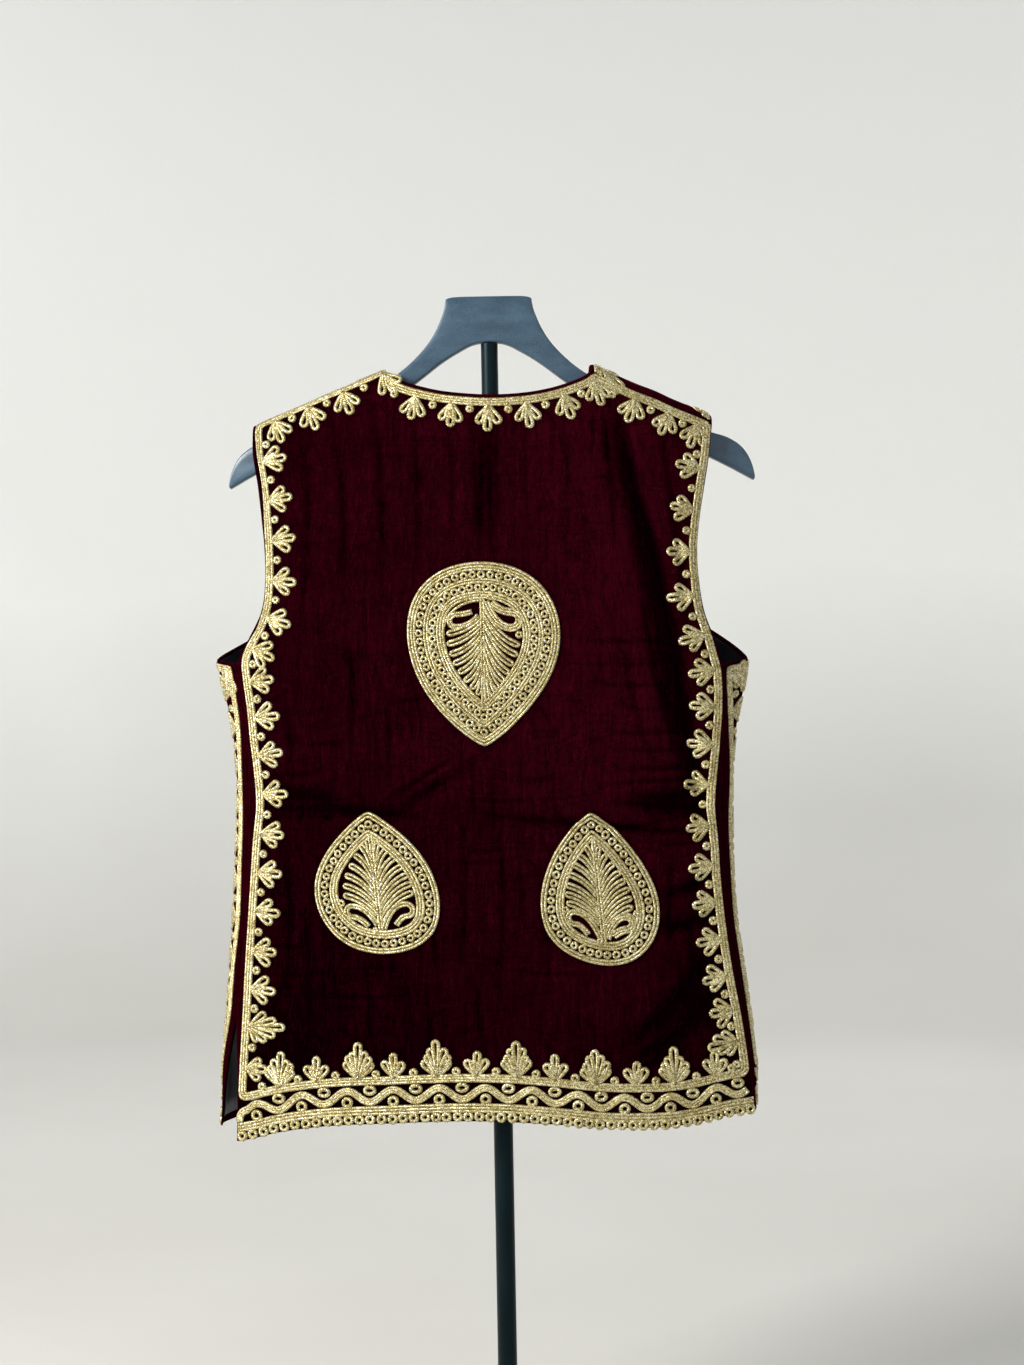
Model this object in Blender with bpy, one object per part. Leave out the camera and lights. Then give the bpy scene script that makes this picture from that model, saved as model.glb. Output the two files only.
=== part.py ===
"""An embroidered velvet vest hanging on a garment stand.

The vest is built as it is cut and sewn: a back and two fronts of velvet, a lining for each, a rolled
velvet edge round both armholes and round the neck, and the raised gold couching: a border band on each
panel, a second band along each hem and three leaf medallions on the back.  The shoulders hang over the
arms of a hanger-shaped head on a round pole with a flat base.

World axes: +Z up, +X towards the wearer's right, -Y behind the wearer.  The origin is the middle of the
underside of the base.  Every size below is in millimetres; MM turns it to metres.
"""
import math

import bmesh
import bpy
import numpy as np
from mathutils import Vector
from mathutils.bvhtree import BVHTree

MM = 0.001

# Driving dimensions of the stand
STAND_HEIGHT = 1031.0
BASE_RADIUS = 140.0
BASE_THICKNESS = 6.0
LOWER_POLE_RADIUS = 8.1
UPPER_POLE_RADIUS = 7.2
POLE_JOINT_HEIGHT = 640.0
HEAD_HALF_WIDTH = 225.0
HEAD_THICKNESS = 10.4
HEAD_SWEEP = 31.0
HEAD_CHAMFER = 1.2
ARCH_DEPTH = 38.6

# Driving dimensions of the vest
VELVET_THICKNESS = 1.6
LINING_THICKNESS = 0.8
SEAM_GAP = 0.8
LAYER_GAP = 0.3
LINING_GAP = 0.5
SHOULDER_RADIUS = 11.5
SHOULDER_FALL = 150.0
SIDE_STRIP = 13.5
EDGE_MARGIN = 1.2
BAND_WIDTH = 8.0
COUCHING_THICKNESS = 1.3
ROLLED_EDGE_RADIUS = 1.7
ROLLED_EDGE_GAP = 1.2
LINING_INSET = 3.5
FRONT_GAP = 1.2
HEM_LOWER_BAND = (10.5, 18.0)
HEM_UPPER_BAND = (31.5, 39.5)
SEAM_PAST_RIDGE = {"left": 0.3, "right": -13.4}
SIDES = {"left": -1.0, "right": 1.0}


def table(columns, *rows):
    """Named columns of a short table, sorted by the first one."""
    cells = np.array(sorted(rows), dtype=float)
    return {name: cells[:, place] for place, name in enumerate(columns.split())}


def read(rows, column, at):
    """A column's value where the first column equals at, on a smooth curve through the rows."""
    knots = next(iter(rows.values()))
    values = rows[column]
    slopes = np.gradient(values, knots)
    at = np.clip(np.asarray(at, dtype=float), knots[0], knots[-1])
    low = np.clip(np.searchsorted(knots, at) - 1, 0, len(knots) - 2)
    step = knots[low + 1] - knots[low]
    t = (at - knots[low]) / step
    return (
        values[low] * (1 + 2 * t) * (1 - t) ** 2
        + slopes[low] * step * t * (1 - t) ** 2
        + values[low + 1] * t * t * (3 - 2 * t)
        + slopes[low + 1] * step * t * t * (t - 1)
    )


def ease(t):
    t = np.clip(t, 0.0, 1.0)
    return t * t * (3 - 2 * t)


# Top line of the cloth where it lies over the arms of the head
RIDGE = table(
    "x z",
    (-215, 922.0), (-201, 928.0), (-190, 932.5), (-178, 937.0), (-160, 943.5), (-140, 951.5),
    (-122, 958.0), (-104, 965.0), (-90, 970.0), (-80, 971.5), (0, 972.0), (80, 973.5), (88, 972.5),
    (101, 966.5), (124, 956.5), (140, 950.5), (153, 944.5), (172, 937.0), (188, 930.5), (200, 926.0),
)
# Cut edge of the back's neck, below the ridge
BACK_NECK = table(
    "x z",
    (-87.0, 970.2), (-84, 963.6), (-75, 957.2), (-58, 950.8), (-42, 946.8), (-25, 944.4), (-3, 942.7),
    (21, 943.2), (42, 945.7), (58, 949.4), (72, 954.5), (80, 958.4), (84, 961.4), (87.0, 965.2),
)
# Cut edge of the back's hem
BACK_HEM = table(
    "x z",
    (-222, 330.0), (-205, 333.5), (-190, 337.5), (-156, 343.0), (-92, 346.5), (-20, 347.5), (44, 343.5),
    (80, 340.2), (107, 339.0), (140, 338.8), (158, 340.5), (175, 343.5), (190, 346.0), (214, 347.5),
)
# Outer edge of the gold border on the back, and where the side seam lies, height by height
BACK_LEFT = table(
    "z gold seam seam_depth",
    (330, -220.5, -221.5, -11), (348, -219.8, -221.5, -10), (389, -217.6, -221.5, -6),
    (430, -215.0, -222.0, -2), (470, -212.6, -218.5, 0), (511, -209.4, -214.0, 0),
    (552, -206.2, -211.6, 0), (579, -204.0, -210.0, 0), (607, -201.0, -208.8, 0),
    (634, -202.2, -208.9, 0), (661, -205.0, -210.5, 0), (689, -207.1, -212.2, 0),
    (716, -210.2, -215.6, 0), (725, -210.8, -216.6, 1), (734, -208.8, -211.0, -11),
    (744, -203.4, -204.8, -13), (755, -196.7, -198.0, -14),
    (769, -191.5, -192.7, -12), (795, -188.4, -189.6, -9),
    (822, -188.8, -190.0, -5), (849, -190.8, -192.0, 0), (876, -193.6, -194.8, 5),
    (903, -198.0, -199.2, 10), (930, -198.8, -200.0, 14),
)
BACK_RIGHT = table(
    "z gold seam seam_depth",
    (338, 210.8, 212.5, -10), (354, 207.5, 211.0, -9), (381, 204.8, 208.0, -5),
    (422, 199.7, 203.5, -1), (463, 192.9, 197.6, 0), (504, 187.7, 192.4, 0),
    (545, 184.3, 189.8, 0), (572, 183.1, 188.6, 0), (599, 181.1, 188.2, 0),
    (626, 183.2, 190.0, 0), (654, 186.2, 190.8, 0), (681, 188.4, 191.2, 0),
    (709, 188.2, 190.4, 0), (716.5, 187.4, 190.2, 1), (726, 184.8, 186.6, -11),
    (740, 180.6, 181.8, -13), (762, 173.0, 174.2, -12), (789, 169.6, 170.8, -9),
    (816, 168.9, 170.1, -5), (842, 171.9, 173.1, 0), (869, 176.6, 177.8, 5),
    (896, 181.6, 182.8, 10), (922, 184.6, 185.8, 13),
)
# Depth of the back at its gold edge, and how far its middle stands out behind that
BACK_DEPTH = table(
    "z edge_depth bulge",
    (330, -25, 20), (389, -21, 22), (430, -17, 23), (540, -13, 24), (640, -12, 24), (735, -14, 25),
    (800, -11, 25), (870, -6, 21), (975, -4, 16),
)
# Rows of the back between its neck and its hem bands: their height at the left edge, middle and right
BACK_ROWS = table(
    "row left_z middle_z right_z",
    (0, 905, 917, 897), (1, 882, 892, 873), (2, 858, 866, 849), (3, 834, 841, 825), (4, 810, 815, 801),
    (5, 786, 790, 777), (6, 765, 767, 757), (7, 748, 750, 739), (8, 735, 734, 726), (9, 724.5, 719, 716.5),
    (10, 703, 700, 692), (11, 672, 672, 664), (12, 640, 640, 634), (13, 607, 608, 603),
    (14, 573, 576, 571), (15, 539, 543, 538), (16, 505, 510, 505), (17, 471, 476, 472),
    (18, 436, 442, 438), (19, 402, 411, 409),
)
# Places of the back's columns between its two border bands, closer beside the fold at the right armhole
BACK_COLUMNS = (
    0.0, 0.09, 0.19, 0.283, 0.294, 0.34, 0.395, 0.455, 0.52, 0.585, 0.64, 0.69, 0.725, 0.745, 0.756,
    0.793, 0.83, 0.872, 0.912, 0.952, 1.0,
)
# Sections through each front from its side seam to its widest point, height by height
FRONT_SIDE = {
    "left": table(
        "z seam seam_depth gold gold_depth widest widest_depth",
        (330, -240.5, 20, -241.0, 33, -235.0, 46), (389, -231.0, 8, -236.5, 20, -238.0, 34),
        (430, -222.2, 0, -228.3, 12, -234.1, 27), (470, -218.5, 0, -224.2, 12, -230.8, 27),
        (511, -214.0, 0, -218.9, 12, -227.5, 27), (552, -211.6, 0, -217.0, 12, -225.0, 27),
        (593, -209.2, 0, -215.2, 12, -222.6, 26), (634, -208.9, 0, -215.3, 12, -221.9, 26),
        (675, -211.3, 0, -216.0, 12, -226.2, 28), (716, -215.3, 0, -220.6, 11, -234.9, 27),
        (731, -216.8, 1, -222.5, 11, -238.0, 27),
    ),
    "right": table(
        "z seam seam_depth gold gold_depth widest widest_depth",
        (330, 215.0, 8, 216.0, 21, 213.5, 35), (381, 208.7, 1, 213.0, 14, 216.5, 28),
        (422, 203.6, 0, 208.0, 12, 212.0, 26), (463, 197.6, 0, 202.7, 12, 206.8, 26),
        (504, 192.4, 0, 197.5, 12, 201.6, 26), (545, 189.8, 0, 195.5, 12, 199.5, 26),
        (586, 188.4, 0, 194.6, 12, 199.5, 26), (627, 190.0, 0, 196.6, 12, 200.4, 26),
        (668, 191.0, 0, 195.6, 12, 205.2, 27), (709, 190.4, 0, 194.5, 12, 214.0, 28),
        (721, 190.0, 1, 194.5, 12, 216.0, 29),
    ),
}
# Depth of the fronts at their front edges, and of the chest at the outer end of the shoulders
FRONT_DEPTH = table(
    "z centre_depth outer_depth centre_x",
    (330, 70, 46, -11), (430, 67, 44, -9), (540, 63, 42, -7), (640, 61, 42, -5), (735, 64, 44, -4),
    (800, 60, 43, -3), (860, 50, 41, -2), (920, 30, 39, -1), (975, 12, 37, 0),
)
# Rows of each front, top to hem bands: distance from the front edge's line, and height, at both ends.
# end is ARMHOLE where the row starts on the armhole, CORNER above the corner of the gold border, and
# SEAM_TOP or SEAM where it starts on the side seam, whose side_p is worked out from the section.
ARMHOLE, CORNER, SEAM_TOP, SEAM = range(4)
FRONT_ROWS = {
    "left": table(
        "row end side_p side_z edge_p edge_z",
        (0, ARMHOLE, 199, 0, 87, 0), (1, ARMHOLE, 192, 900, 84.5, 938), (2, ARMHOLE, 180, 872, 77, 910),
        (3, ARMHOLE, 170, 840, 62, 886), (4, ARMHOLE, 167, 808, 40, 869), (5, ARMHOLE, 173, 780, 14, 860.5),
        (6, ARMHOLE, 189, 758, FRONT_GAP, 846), (7, ARMHOLE, 208, 746, FRONT_GAP, 824),
        (8, ARMHOLE, 231, 735, FRONT_GAP, 800), (9, ARMHOLE, 250, 727.6, FRONT_GAP, 778),
        (10, CORNER, 0, 725.2, FRONT_GAP, 756), (11, SEAM_TOP, 0, 724.5, FRONT_GAP, 735),
        (12, SEAM, 0, 691, FRONT_GAP, 708), (13, SEAM, 0, 666, FRONT_GAP, 676),
        (14, SEAM, 0, 635, FRONT_GAP, 643), (15, SEAM, 0, 602, FRONT_GAP, 609),
        (16, SEAM, 0, 569, FRONT_GAP, 574), (17, SEAM, 0, 536, FRONT_GAP, 540),
        (18, SEAM, 0, 503, FRONT_GAP, 507), (19, SEAM, 0, 470, FRONT_GAP, 474),
        (20, SEAM, 0, 437, FRONT_GAP, 441), (21, SEAM, 0, 404, FRONT_GAP, 409),
    ),
    "right": table(
        "row end side_p side_z edge_p edge_z",
        (0, ARMHOLE, 187, 0, 87, 0), (1, ARMHOLE, 180, 894, 84.5, 938), (2, ARMHOLE, 168, 866, 77, 910),
        (3, ARMHOLE, 159, 834, 62, 886), (4, ARMHOLE, 157, 802, 40, 869), (5, ARMHOLE, 163, 775, 14, 860.5),
        (6, ARMHOLE, 178, 757, FRONT_GAP, 846), (7, ARMHOLE, 195, 745, FRONT_GAP, 824),
        (8, ARMHOLE, 216, 732, FRONT_GAP, 800), (9, ARMHOLE, 236, 721.4, FRONT_GAP, 778),
        (10, CORNER, 0, 717.4, FRONT_GAP, 756), (11, SEAM_TOP, 0, 716.5, FRONT_GAP, 735),
        (12, SEAM, 0, 681, FRONT_GAP, 708), (13, SEAM, 0, 660, FRONT_GAP, 676),
        (14, SEAM, 0, 630, FRONT_GAP, 643), (15, SEAM, 0, 599, FRONT_GAP, 609),
        (16, SEAM, 0, 567, FRONT_GAP, 574), (17, SEAM, 0, 535, FRONT_GAP, 540),
        (18, SEAM, 0, 503, FRONT_GAP, 507), (19, SEAM, 0, 471, FRONT_GAP, 474),
        (20, SEAM, 0, 440, FRONT_GAP, 441), (21, SEAM, 0, 410, FRONT_GAP, 409),
    ),
}
FRONT_HEM = table("x z", (-241, 333), (-200, 336), (-120, 341), (-11, 343), (120, 342), (216, 345))
FRONT_COLUMNS = (0.0, 0.055, 0.09, 0.16, 0.28, 0.45, 0.63, 0.82, 1.0)
# Rows round the shoulder's bend, as distances from the ridge
SHOULDER_RUNS = (3.0, 10.5, 18.5)

# Largest folds: each is a soft trough along a bent line of three points (x, z), pushed inwards
BACK_FOLDS = table(
    "x1 z1 x2 z2 x3 z3 half_width depth",
    (96, 946, 132, 872, 151, 770, 13, 7.0),
    (150, 800, 158, 730, 172, 660, 13, 8.5),
    (176, 628, 150, 616, 112, 612, 9, 4.0),
    (184, 590, 150, 570, 126, 520, 11, 3.5),
    (176, 470, 150, 432, 118, 404, 13, 5.0),
    (-196, 622, -160, 606, -120, 604, 8, 2.5),
    (-2, 935, -4, 880, -3, 822, 12, 2.0),
)
FRONT_FOLDS = table(
    "x1 z1 x2 z2 x3 z3 half_width depth",
    (-176, 760, -140, 700, -128, 620, 15, 5.0),
    (-190, 610, -130, 598, -60, 604, 11, 3.5),
    (-150, 480, -128, 420, -120, 350, 16, 5.0),
    (162, 748, 132, 690, 122, 610, 15, 5.5),
    (172, 600, 120, 586, 60, 596, 11, 3.5),
    (140, 500, 118, 430, 112, 350, 16, 5.0),
)

# Outline of half the head: each row is one section across it, from its top edge to its underside,
# as distance from the pole's axis and depth below the head's top
HEAD_SECTIONS = table(
    "top_x top_depth under_x under_depth",
    (0, 0, 0, 38.6), (17, 0, 9, 38.8), (32, 0, 15, 40.4), (36.2, 2, 18, 41.8), (37.4, 10.4, 20.5, 43.0),
    (42.3, 24.1, 25, 45.6), (50.1, 37.9, 33, 49.8), (62.6, 51.6, 44, 57), (79.3, 65.5, 60, 69.5),
    (100, 75.2, 84, 86.5), (130, 89.2, 118, 103.5), (160, 103.3, 152, 120), (185, 115, 184, 134.8),
    (198, 117, 196, 140.4), (210, 123, 207, 145.8), (219, 131.5, 216, 150.6), (224, 144, 221.5, 153.5),
    (225.2, 152.4, 224.2, 154.8),
)

# Medallions on the back: middle of the outline, its width and height, and which way its tip points
MEDALLIONS = {
    "medallion_upper": {"x": -7.5, "z": 730.0, "width": 129.0, "height": 153.0, "tip": -1.0, "lean": 0.0},
    "medallion_left": {"x": -102.0, "z": 542.0, "width": 101.0, "height": 114.5, "tip": 1.0, "lean": 0.1},
    "medallion_right": {"x": 82.0, "z": 532.0, "width": 99.0, "height": 128.0, "tip": 1.0, "lean": 0.09},
}
MEDALLION_POINTS = 36
MEDALLION_RINGS = (1.0, 0.84, 0.5)
MEDALLION_LIFT = 0.7


def sweep(x):
    """How far forward the head's arms have curved at x."""
    return HEAD_SWEEP * (np.abs(x) / HEAD_HALF_WIDTH) ** 1.7


def drop_over_shoulder(run):
    """Height lost after running this far from the ridge over the arm and down."""
    bend = np.clip(np.abs(run) / SHOULDER_RADIUS, 0, math.pi / 2)
    straight = np.maximum(np.abs(run) - SHOULDER_RADIUS * math.pi / 2, 0)
    return SHOULDER_RADIUS * (1 - np.cos(bend)) + straight


def run_over_shoulder(drop):
    """Inverse of drop_over_shoulder."""
    bend = np.arccos(np.clip(1 - drop / SHOULDER_RADIUS, 0, 1)) * SHOULDER_RADIUS
    return bend + np.maximum(drop - SHOULDER_RADIUS, 0)


def shoulder_reach(x, z):
    """Distance of the cloth in front of or behind the head's arm, just under the ridge."""
    drop = np.clip((read(RIDGE, "z", x) - z) / SHOULDER_RADIUS, 0, 1)
    return SHOULDER_RADIUS * np.sqrt(1 - (1 - drop) ** 2)


def fold_depth(folds, x, z):
    """Depth of all the soft troughs at (x, z)."""
    x, z = np.broadcast_arrays(np.asarray(x, dtype=float), np.asarray(z, dtype=float))
    total = np.zeros(x.shape)
    t = np.linspace(0, 1, 25)
    for k in range(len(folds["x1"])):
        one = {name: column[k] for name, column in folds.items()}
        path_x = (1 - t) ** 2 * one["x1"] + 2 * t * (1 - t) * one["x2"] + t * t * one["x3"]
        path_z = (1 - t) ** 2 * one["z1"] + 2 * t * (1 - t) * one["z2"] + t * t * one["z3"]
        away = np.hypot(x[..., None] - path_x, z[..., None] - path_z)
        nearest = np.argmin(away, axis=-1)
        distance = np.take_along_axis(away, nearest[..., None], axis=-1)[..., 0]
        fade = 0.25 + 0.75 * np.sin(math.pi * t[nearest])
        total += one["depth"] * fade * np.exp(-(distance / one["half_width"]) ** 2)
    return total


def shoulder_share(x, z):
    """0 on the head's arm, 1 once the cloth hangs free below it."""
    return ease((read(RIDGE, "z", x) - z) / SHOULDER_FALL)


def back_depth(x, z):
    """Y of the back's middle surface at (x, z), in its part between the gold edges."""
    left = read(BACK_LEFT, "gold", z)
    right = read(BACK_RIGHT, "gold", z)
    across = np.abs(2 * (x - left) / (right - left) - 1)
    hanging = read(BACK_DEPTH, "edge_depth", z)
    hanging = hanging - read(BACK_DEPTH, "bulge", z) * (1 - np.clip(across, 0, 1) ** 2.4)
    over_arm = sweep(x) - shoulder_reach(x, z)
    share = shoulder_share(x, z)
    return over_arm * (1 - share) + hanging * share + fold_depth(BACK_FOLDS, x, z)


def back_top(x):
    """Height of the back's cut edge along the shoulders and the neck."""
    shoulder_run = np.where(x < 0, SEAM_PAST_RIDGE["left"], SEAM_GAP - SEAM_PAST_RIDGE["right"])
    shoulder = read(RIDGE, "z", x) - drop_over_shoulder(shoulder_run)
    neck_left = BACK_NECK["x"][0]
    neck_right = BACK_NECK["x"][-1]
    inside = (x > neck_left) & (x < neck_right)
    return np.where(inside, np.minimum(read(BACK_NECK, "z", x), shoulder), shoulder)


def back_grid():
    """Middle surface of the back: rows from the shoulders to the hem, columns from left to right."""
    table_rows = len(BACK_ROWS["row"])
    columns = 4 + len(BACK_COLUMNS)
    rows = 3 + table_rows + 5
    share = np.concatenate(([0, 0], BACK_COLUMNS, [1, 1]))
    points = np.zeros((rows, columns, 3))
    for column in range(columns):
        at = share[column]
        x = np.interp(at, [0, 1], [-198.8, 184.6])
        left_shoulder = x < 0
        for row in range(rows):
            z = 0.0
            for _ in range(4):
                z = back_row_height(row, table_rows, at, x)
                left = read(BACK_LEFT, "gold", z) + BAND_WIDTH
                right = read(BACK_RIGHT, "gold", z) - BAND_WIDTH
                x = left + at * (right - left)
                if column == 1:
                    x = left - BAND_WIDTH
                elif column == columns - 2:
                    x = right + BAND_WIDTH
                elif column in (0, columns - 1):
                    x = read(BACK_LEFT if left_shoulder else BACK_RIGHT, "gold", z)
            if column in (0, columns - 1):
                side = BACK_LEFT if left_shoulder else BACK_RIGHT
                gold_depth = float(back_depth(np.array(x), z))
                below_arm = ease((z - 905) / 40)
                seam_depth = float(read(side, "seam_depth", z)) * (1 - below_arm) + gold_depth * below_arm
                points[row, column] = (float(read(side, "seam", z)), seam_depth, z)
            else:
                points[row, column] = (x, float(back_depth(np.array(x), z)), z)
    return points


def back_row_height(row, table_rows, share, x):
    """Height of one row of the back at the given place across."""
    top = back_top(np.array(x))
    ridge = read(RIDGE, "z", x)
    hem = read(BACK_HEM, "z", x)
    first = 3
    if row < first:
        step = (0.0, EDGE_MARGIN, EDGE_MARGIN + BAND_WIDTH)[row]
        return float(ridge - drop_over_shoulder(run_over_shoulder(ridge - top) + step))
    if row >= first + table_rows:
        lifts = (HEM_UPPER_BAND[1], HEM_UPPER_BAND[0], HEM_LOWER_BAND[1], HEM_LOWER_BAND[0], 0.0)
        return float(hem + lifts[row - first - table_rows])
    k = row - first
    ends = (BACK_ROWS["left_z"][k], BACK_ROWS["middle_z"][k], BACK_ROWS["right_z"][k])
    return float(np.interp(share, [0, 0.5, 1], ends))


def front_section(side, z):
    """Outline of one front's level section, from the front edge's line round to the side seam."""
    rows = FRONT_SIDE[side]
    seam = (read(rows, "seam", z), read(rows, "seam_depth", z))
    gold = (read(rows, "gold", z), read(rows, "gold_depth", z))
    widest = (read(rows, "widest", z), read(rows, "widest_depth", z))
    centre = (read(FRONT_DEPTH, "centre_x", z), read(FRONT_DEPTH, "centre_depth", z))
    turn = (widest[0] * 0.955, widest[1] + 17)
    corners = [centre]
    for share, rise in ((0.33, 0.98), (0.66, 0.78)):
        x = centre[0] + share * (widest[0] - centre[0])
        corners.append((x, turn[1] + rise * (centre[1] - turn[1])))
    corners += [turn, widest, gold, seam]
    corners = np.array(corners, dtype=float)
    knots = np.concatenate(([0], np.cumsum(np.hypot(*np.diff(corners, axis=0).T))))
    curve = {"run": knots, "x": corners[:, 0], "y": corners[:, 1]}
    run = np.linspace(0, knots[-1], 120)
    outline = np.stack([read(curve, "x", run), read(curve, "y", run)], axis=1)
    length = np.concatenate(([0], np.cumsum(np.hypot(*np.diff(outline, axis=0).T))))
    return length, outline


def front_point(side, p, z):
    """Point of a front's middle surface, p along its section from the front edge's line."""
    sign = SIDES[side]
    length, outline = front_section(side, z)
    hanging = np.array([np.interp(p, length, outline[:, 0]), np.interp(p, length, outline[:, 1])])
    x = float(read(FRONT_DEPTH, "centre_x", z)) + sign * p
    middle = float(read(FRONT_DEPTH, "centre_depth", z))
    outer = float(read(FRONT_DEPTH, "outer_depth", z))
    chest = middle + (outer - middle) * (p / 200.0) ** 1.6
    over_arm = sweep(x) + shoulder_reach(x, z)
    share = shoulder_share(x, z)
    upper = np.array([x, over_arm * (1 - share) + chest * share])
    above = ease((z - 722) / 75)
    x, y = hanging * (1 - above) + upper * above
    y -= float(fold_depth(FRONT_FOLDS, np.array(x), np.array(z)))
    return np.array([x, y, z])


def side_length(side, z):
    """Distance along the section from the front edge's line to the front's cut edge at the side seam."""
    return front_section(side, z)[0][-1] - SEAM_GAP


def front_row_ends(side):
    """For each row: three places (p, z) inwards from its side end and three from its front end."""
    rows = FRONT_ROWS[side]
    ridge_ends = [float(read(RIDGE, "z", SIDES[side] * rows[name][0])) for name in ("side_p", "edge_p")]
    outer = np.stack([rows["side_p"], rows["side_z"]], axis=1)
    inner = np.stack([rows["edge_p"], rows["edge_z"]], axis=1)
    outer[0, 1] = ridge_ends[0]
    inner[0, 1] = ridge_ends[1]
    for k, end in enumerate(rows["end"]):
        if end == CORNER:
            outer[k, 0] = side_length(side, outer[k, 1]) - SIDE_STRIP
        elif end in (SEAM_TOP, SEAM):
            outer[k, 0] = side_length(side, outer[k, 1])
    step = np.gradient(outer, axis=0)
    into_side = np.stack([step[:, 1], -step[:, 0]], axis=1)
    into_side /= np.linalg.norm(into_side, axis=1, keepdims=True)
    step = np.gradient(inner, axis=0)
    into_edge = np.stack([-step[:, 1], step[:, 0]], axis=1)
    into_edge /= np.linalg.norm(into_edge, axis=1, keepdims=True)
    band = EDGE_MARGIN + BAND_WIDTH
    ends = []
    for k, end in enumerate(rows["end"]):
        place = outer[k]
        if end == ARMHOLE:
            side_places = [place, place + into_side[k] * EDGE_MARGIN, place + into_side[k] * band]
        elif end == CORNER:
            side_places = [place, place + (0, -EDGE_MARGIN), place + (-BAND_WIDTH, -band * 1.3)]
        else:
            dip = band if end == SEAM_TOP else 0.0
            side_places = [place, place + (-SIDE_STRIP, -dip), place + (-SIDE_STRIP - BAND_WIDTH, -dip * 2)]
        place = inner[k]
        ends.append((side_places, [place, place + into_edge[k] * EDGE_MARGIN, place + into_edge[k] * band]))
    return ends


def fill_row(side_places, edge_places):
    """All the places of one row, from its side end to its front end."""
    first = side_places[2]
    last = edge_places[2]
    middle = [first + share * (last - first) for share in FRONT_COLUMNS]
    return side_places[:2] + middle + edge_places[1::-1]


def front_grid(side):
    """Middle surface of one front: rows from the shoulder to the hem, columns from side to front edge."""
    sign = SIDES[side]
    start = SEAM_PAST_RIDGE[side]
    bends = [start, start + EDGE_MARGIN, start + EDGE_MARGIN + BAND_WIDTH]
    bends += [run for run in SHOULDER_RUNS if run > bends[-1] + 3]
    grid = [shoulder_row(side, run) for run in bends]
    for side_places, edge_places in front_row_ends(side)[1:]:
        grid.append([front_point(side, p, z) for p, z in fill_row(side_places, edge_places)])
    for lift in (HEM_UPPER_BAND[1], HEM_UPPER_BAND[0], HEM_LOWER_BAND[1], HEM_LOWER_BAND[0], 0.0):
        side_z = float(read(FRONT_HEM, "z", sign * HEAD_HALF_WIDTH)) + lift
        side_p = side_length(side, side_z)
        side_places = [np.array([side_p - run, side_z]) for run in (0, SIDE_STRIP, SIDE_STRIP + BAND_WIDTH)]
        edge_runs = (0, EDGE_MARGIN, EDGE_MARGIN + BAND_WIDTH)
        edge_places = [np.array([FRONT_GAP + run, side_z]) for run in edge_runs]
        row = []
        for p, z in fill_row(side_places, edge_places):
            x = front_point(side, p, z)[0]
            row.append(front_point(side, p, float(read(FRONT_HEM, "z", x)) + lift))
        grid.append(row)
    return np.array(grid)


def shoulder_row(side, run):
    """A row that runs along the shoulder, a fixed distance from the ridge."""
    sign = SIDES[side]
    rows = FRONT_ROWS[side]
    row = []
    outer = rows["side_p"][0]
    inner = rows["edge_p"][0]
    runs = (0, EDGE_MARGIN, EDGE_MARGIN + BAND_WIDTH)
    from_outside = [np.array([outer - run]) for run in runs]
    from_inside = [np.array([inner + run]) for run in runs]
    for place in fill_row(from_outside, from_inside):
        x = sign * float(place[0])
        z = float(read(RIDGE, "z", x) - drop_over_shoulder(run))
        y = float(sweep(x) + math.copysign(1.0, run) * shoulder_reach(x, z))
        row.append((x, y, z))
    return row


# ---------------------------------------------------------------- from grids of points to solids
def grid_normals(points, outwards):
    """Unit normals of a grid of points, on the side that the vector outwards points to."""
    along = np.diff(points, axis=1)
    down = np.diff(points, axis=0)
    cells = np.cross(along[:-1] + along[1:], down[:, :-1] + down[:, 1:])
    cells /= np.linalg.norm(cells, axis=2, keepdims=True)
    normals = np.zeros_like(points)
    for row in (slice(None, -1), slice(1, None)):
        for column in (slice(None, -1), slice(1, None)):
            normals[row, column] += cells
    normals /= np.linalg.norm(normals, axis=2, keepdims=True)
    middle = normals[normals.shape[0] // 2, normals.shape[1] // 2]
    return normals if np.dot(middle, outwards) > 0 else -normals


def material(name, colour, roughness, metallic=0.0):
    made = bpy.data.materials.new(name)
    made.use_nodes = True
    shader = made.node_tree.nodes["Principled BSDF"]
    shader.inputs["Base Color"].default_value = (*colour, 1.0)
    shader.inputs["Roughness"].default_value = roughness
    shader.inputs["Metallic"].default_value = metallic
    return made


def finish(name, mesh, finish_material, smooth=True):
    """Put a bmesh in the scene as one closed object with its faces outwards."""
    bmesh.ops.triangulate(mesh, faces=mesh.faces[:], quad_method="FIXED")
    if mesh.calc_volume(signed=True) < 0:
        bmesh.ops.reverse_faces(mesh, faces=mesh.faces[:])
    data = bpy.data.meshes.new(name)
    mesh.to_mesh(data)
    mesh.free()
    data.materials.append(finish_material)
    if smooth:
        data.shade_smooth()
        data.set_sharp_from_angle(angle=math.radians(40))
    made = bpy.data.objects.new(name, data)
    bpy.context.scene.collection.objects.link(made)
    return made


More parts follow.
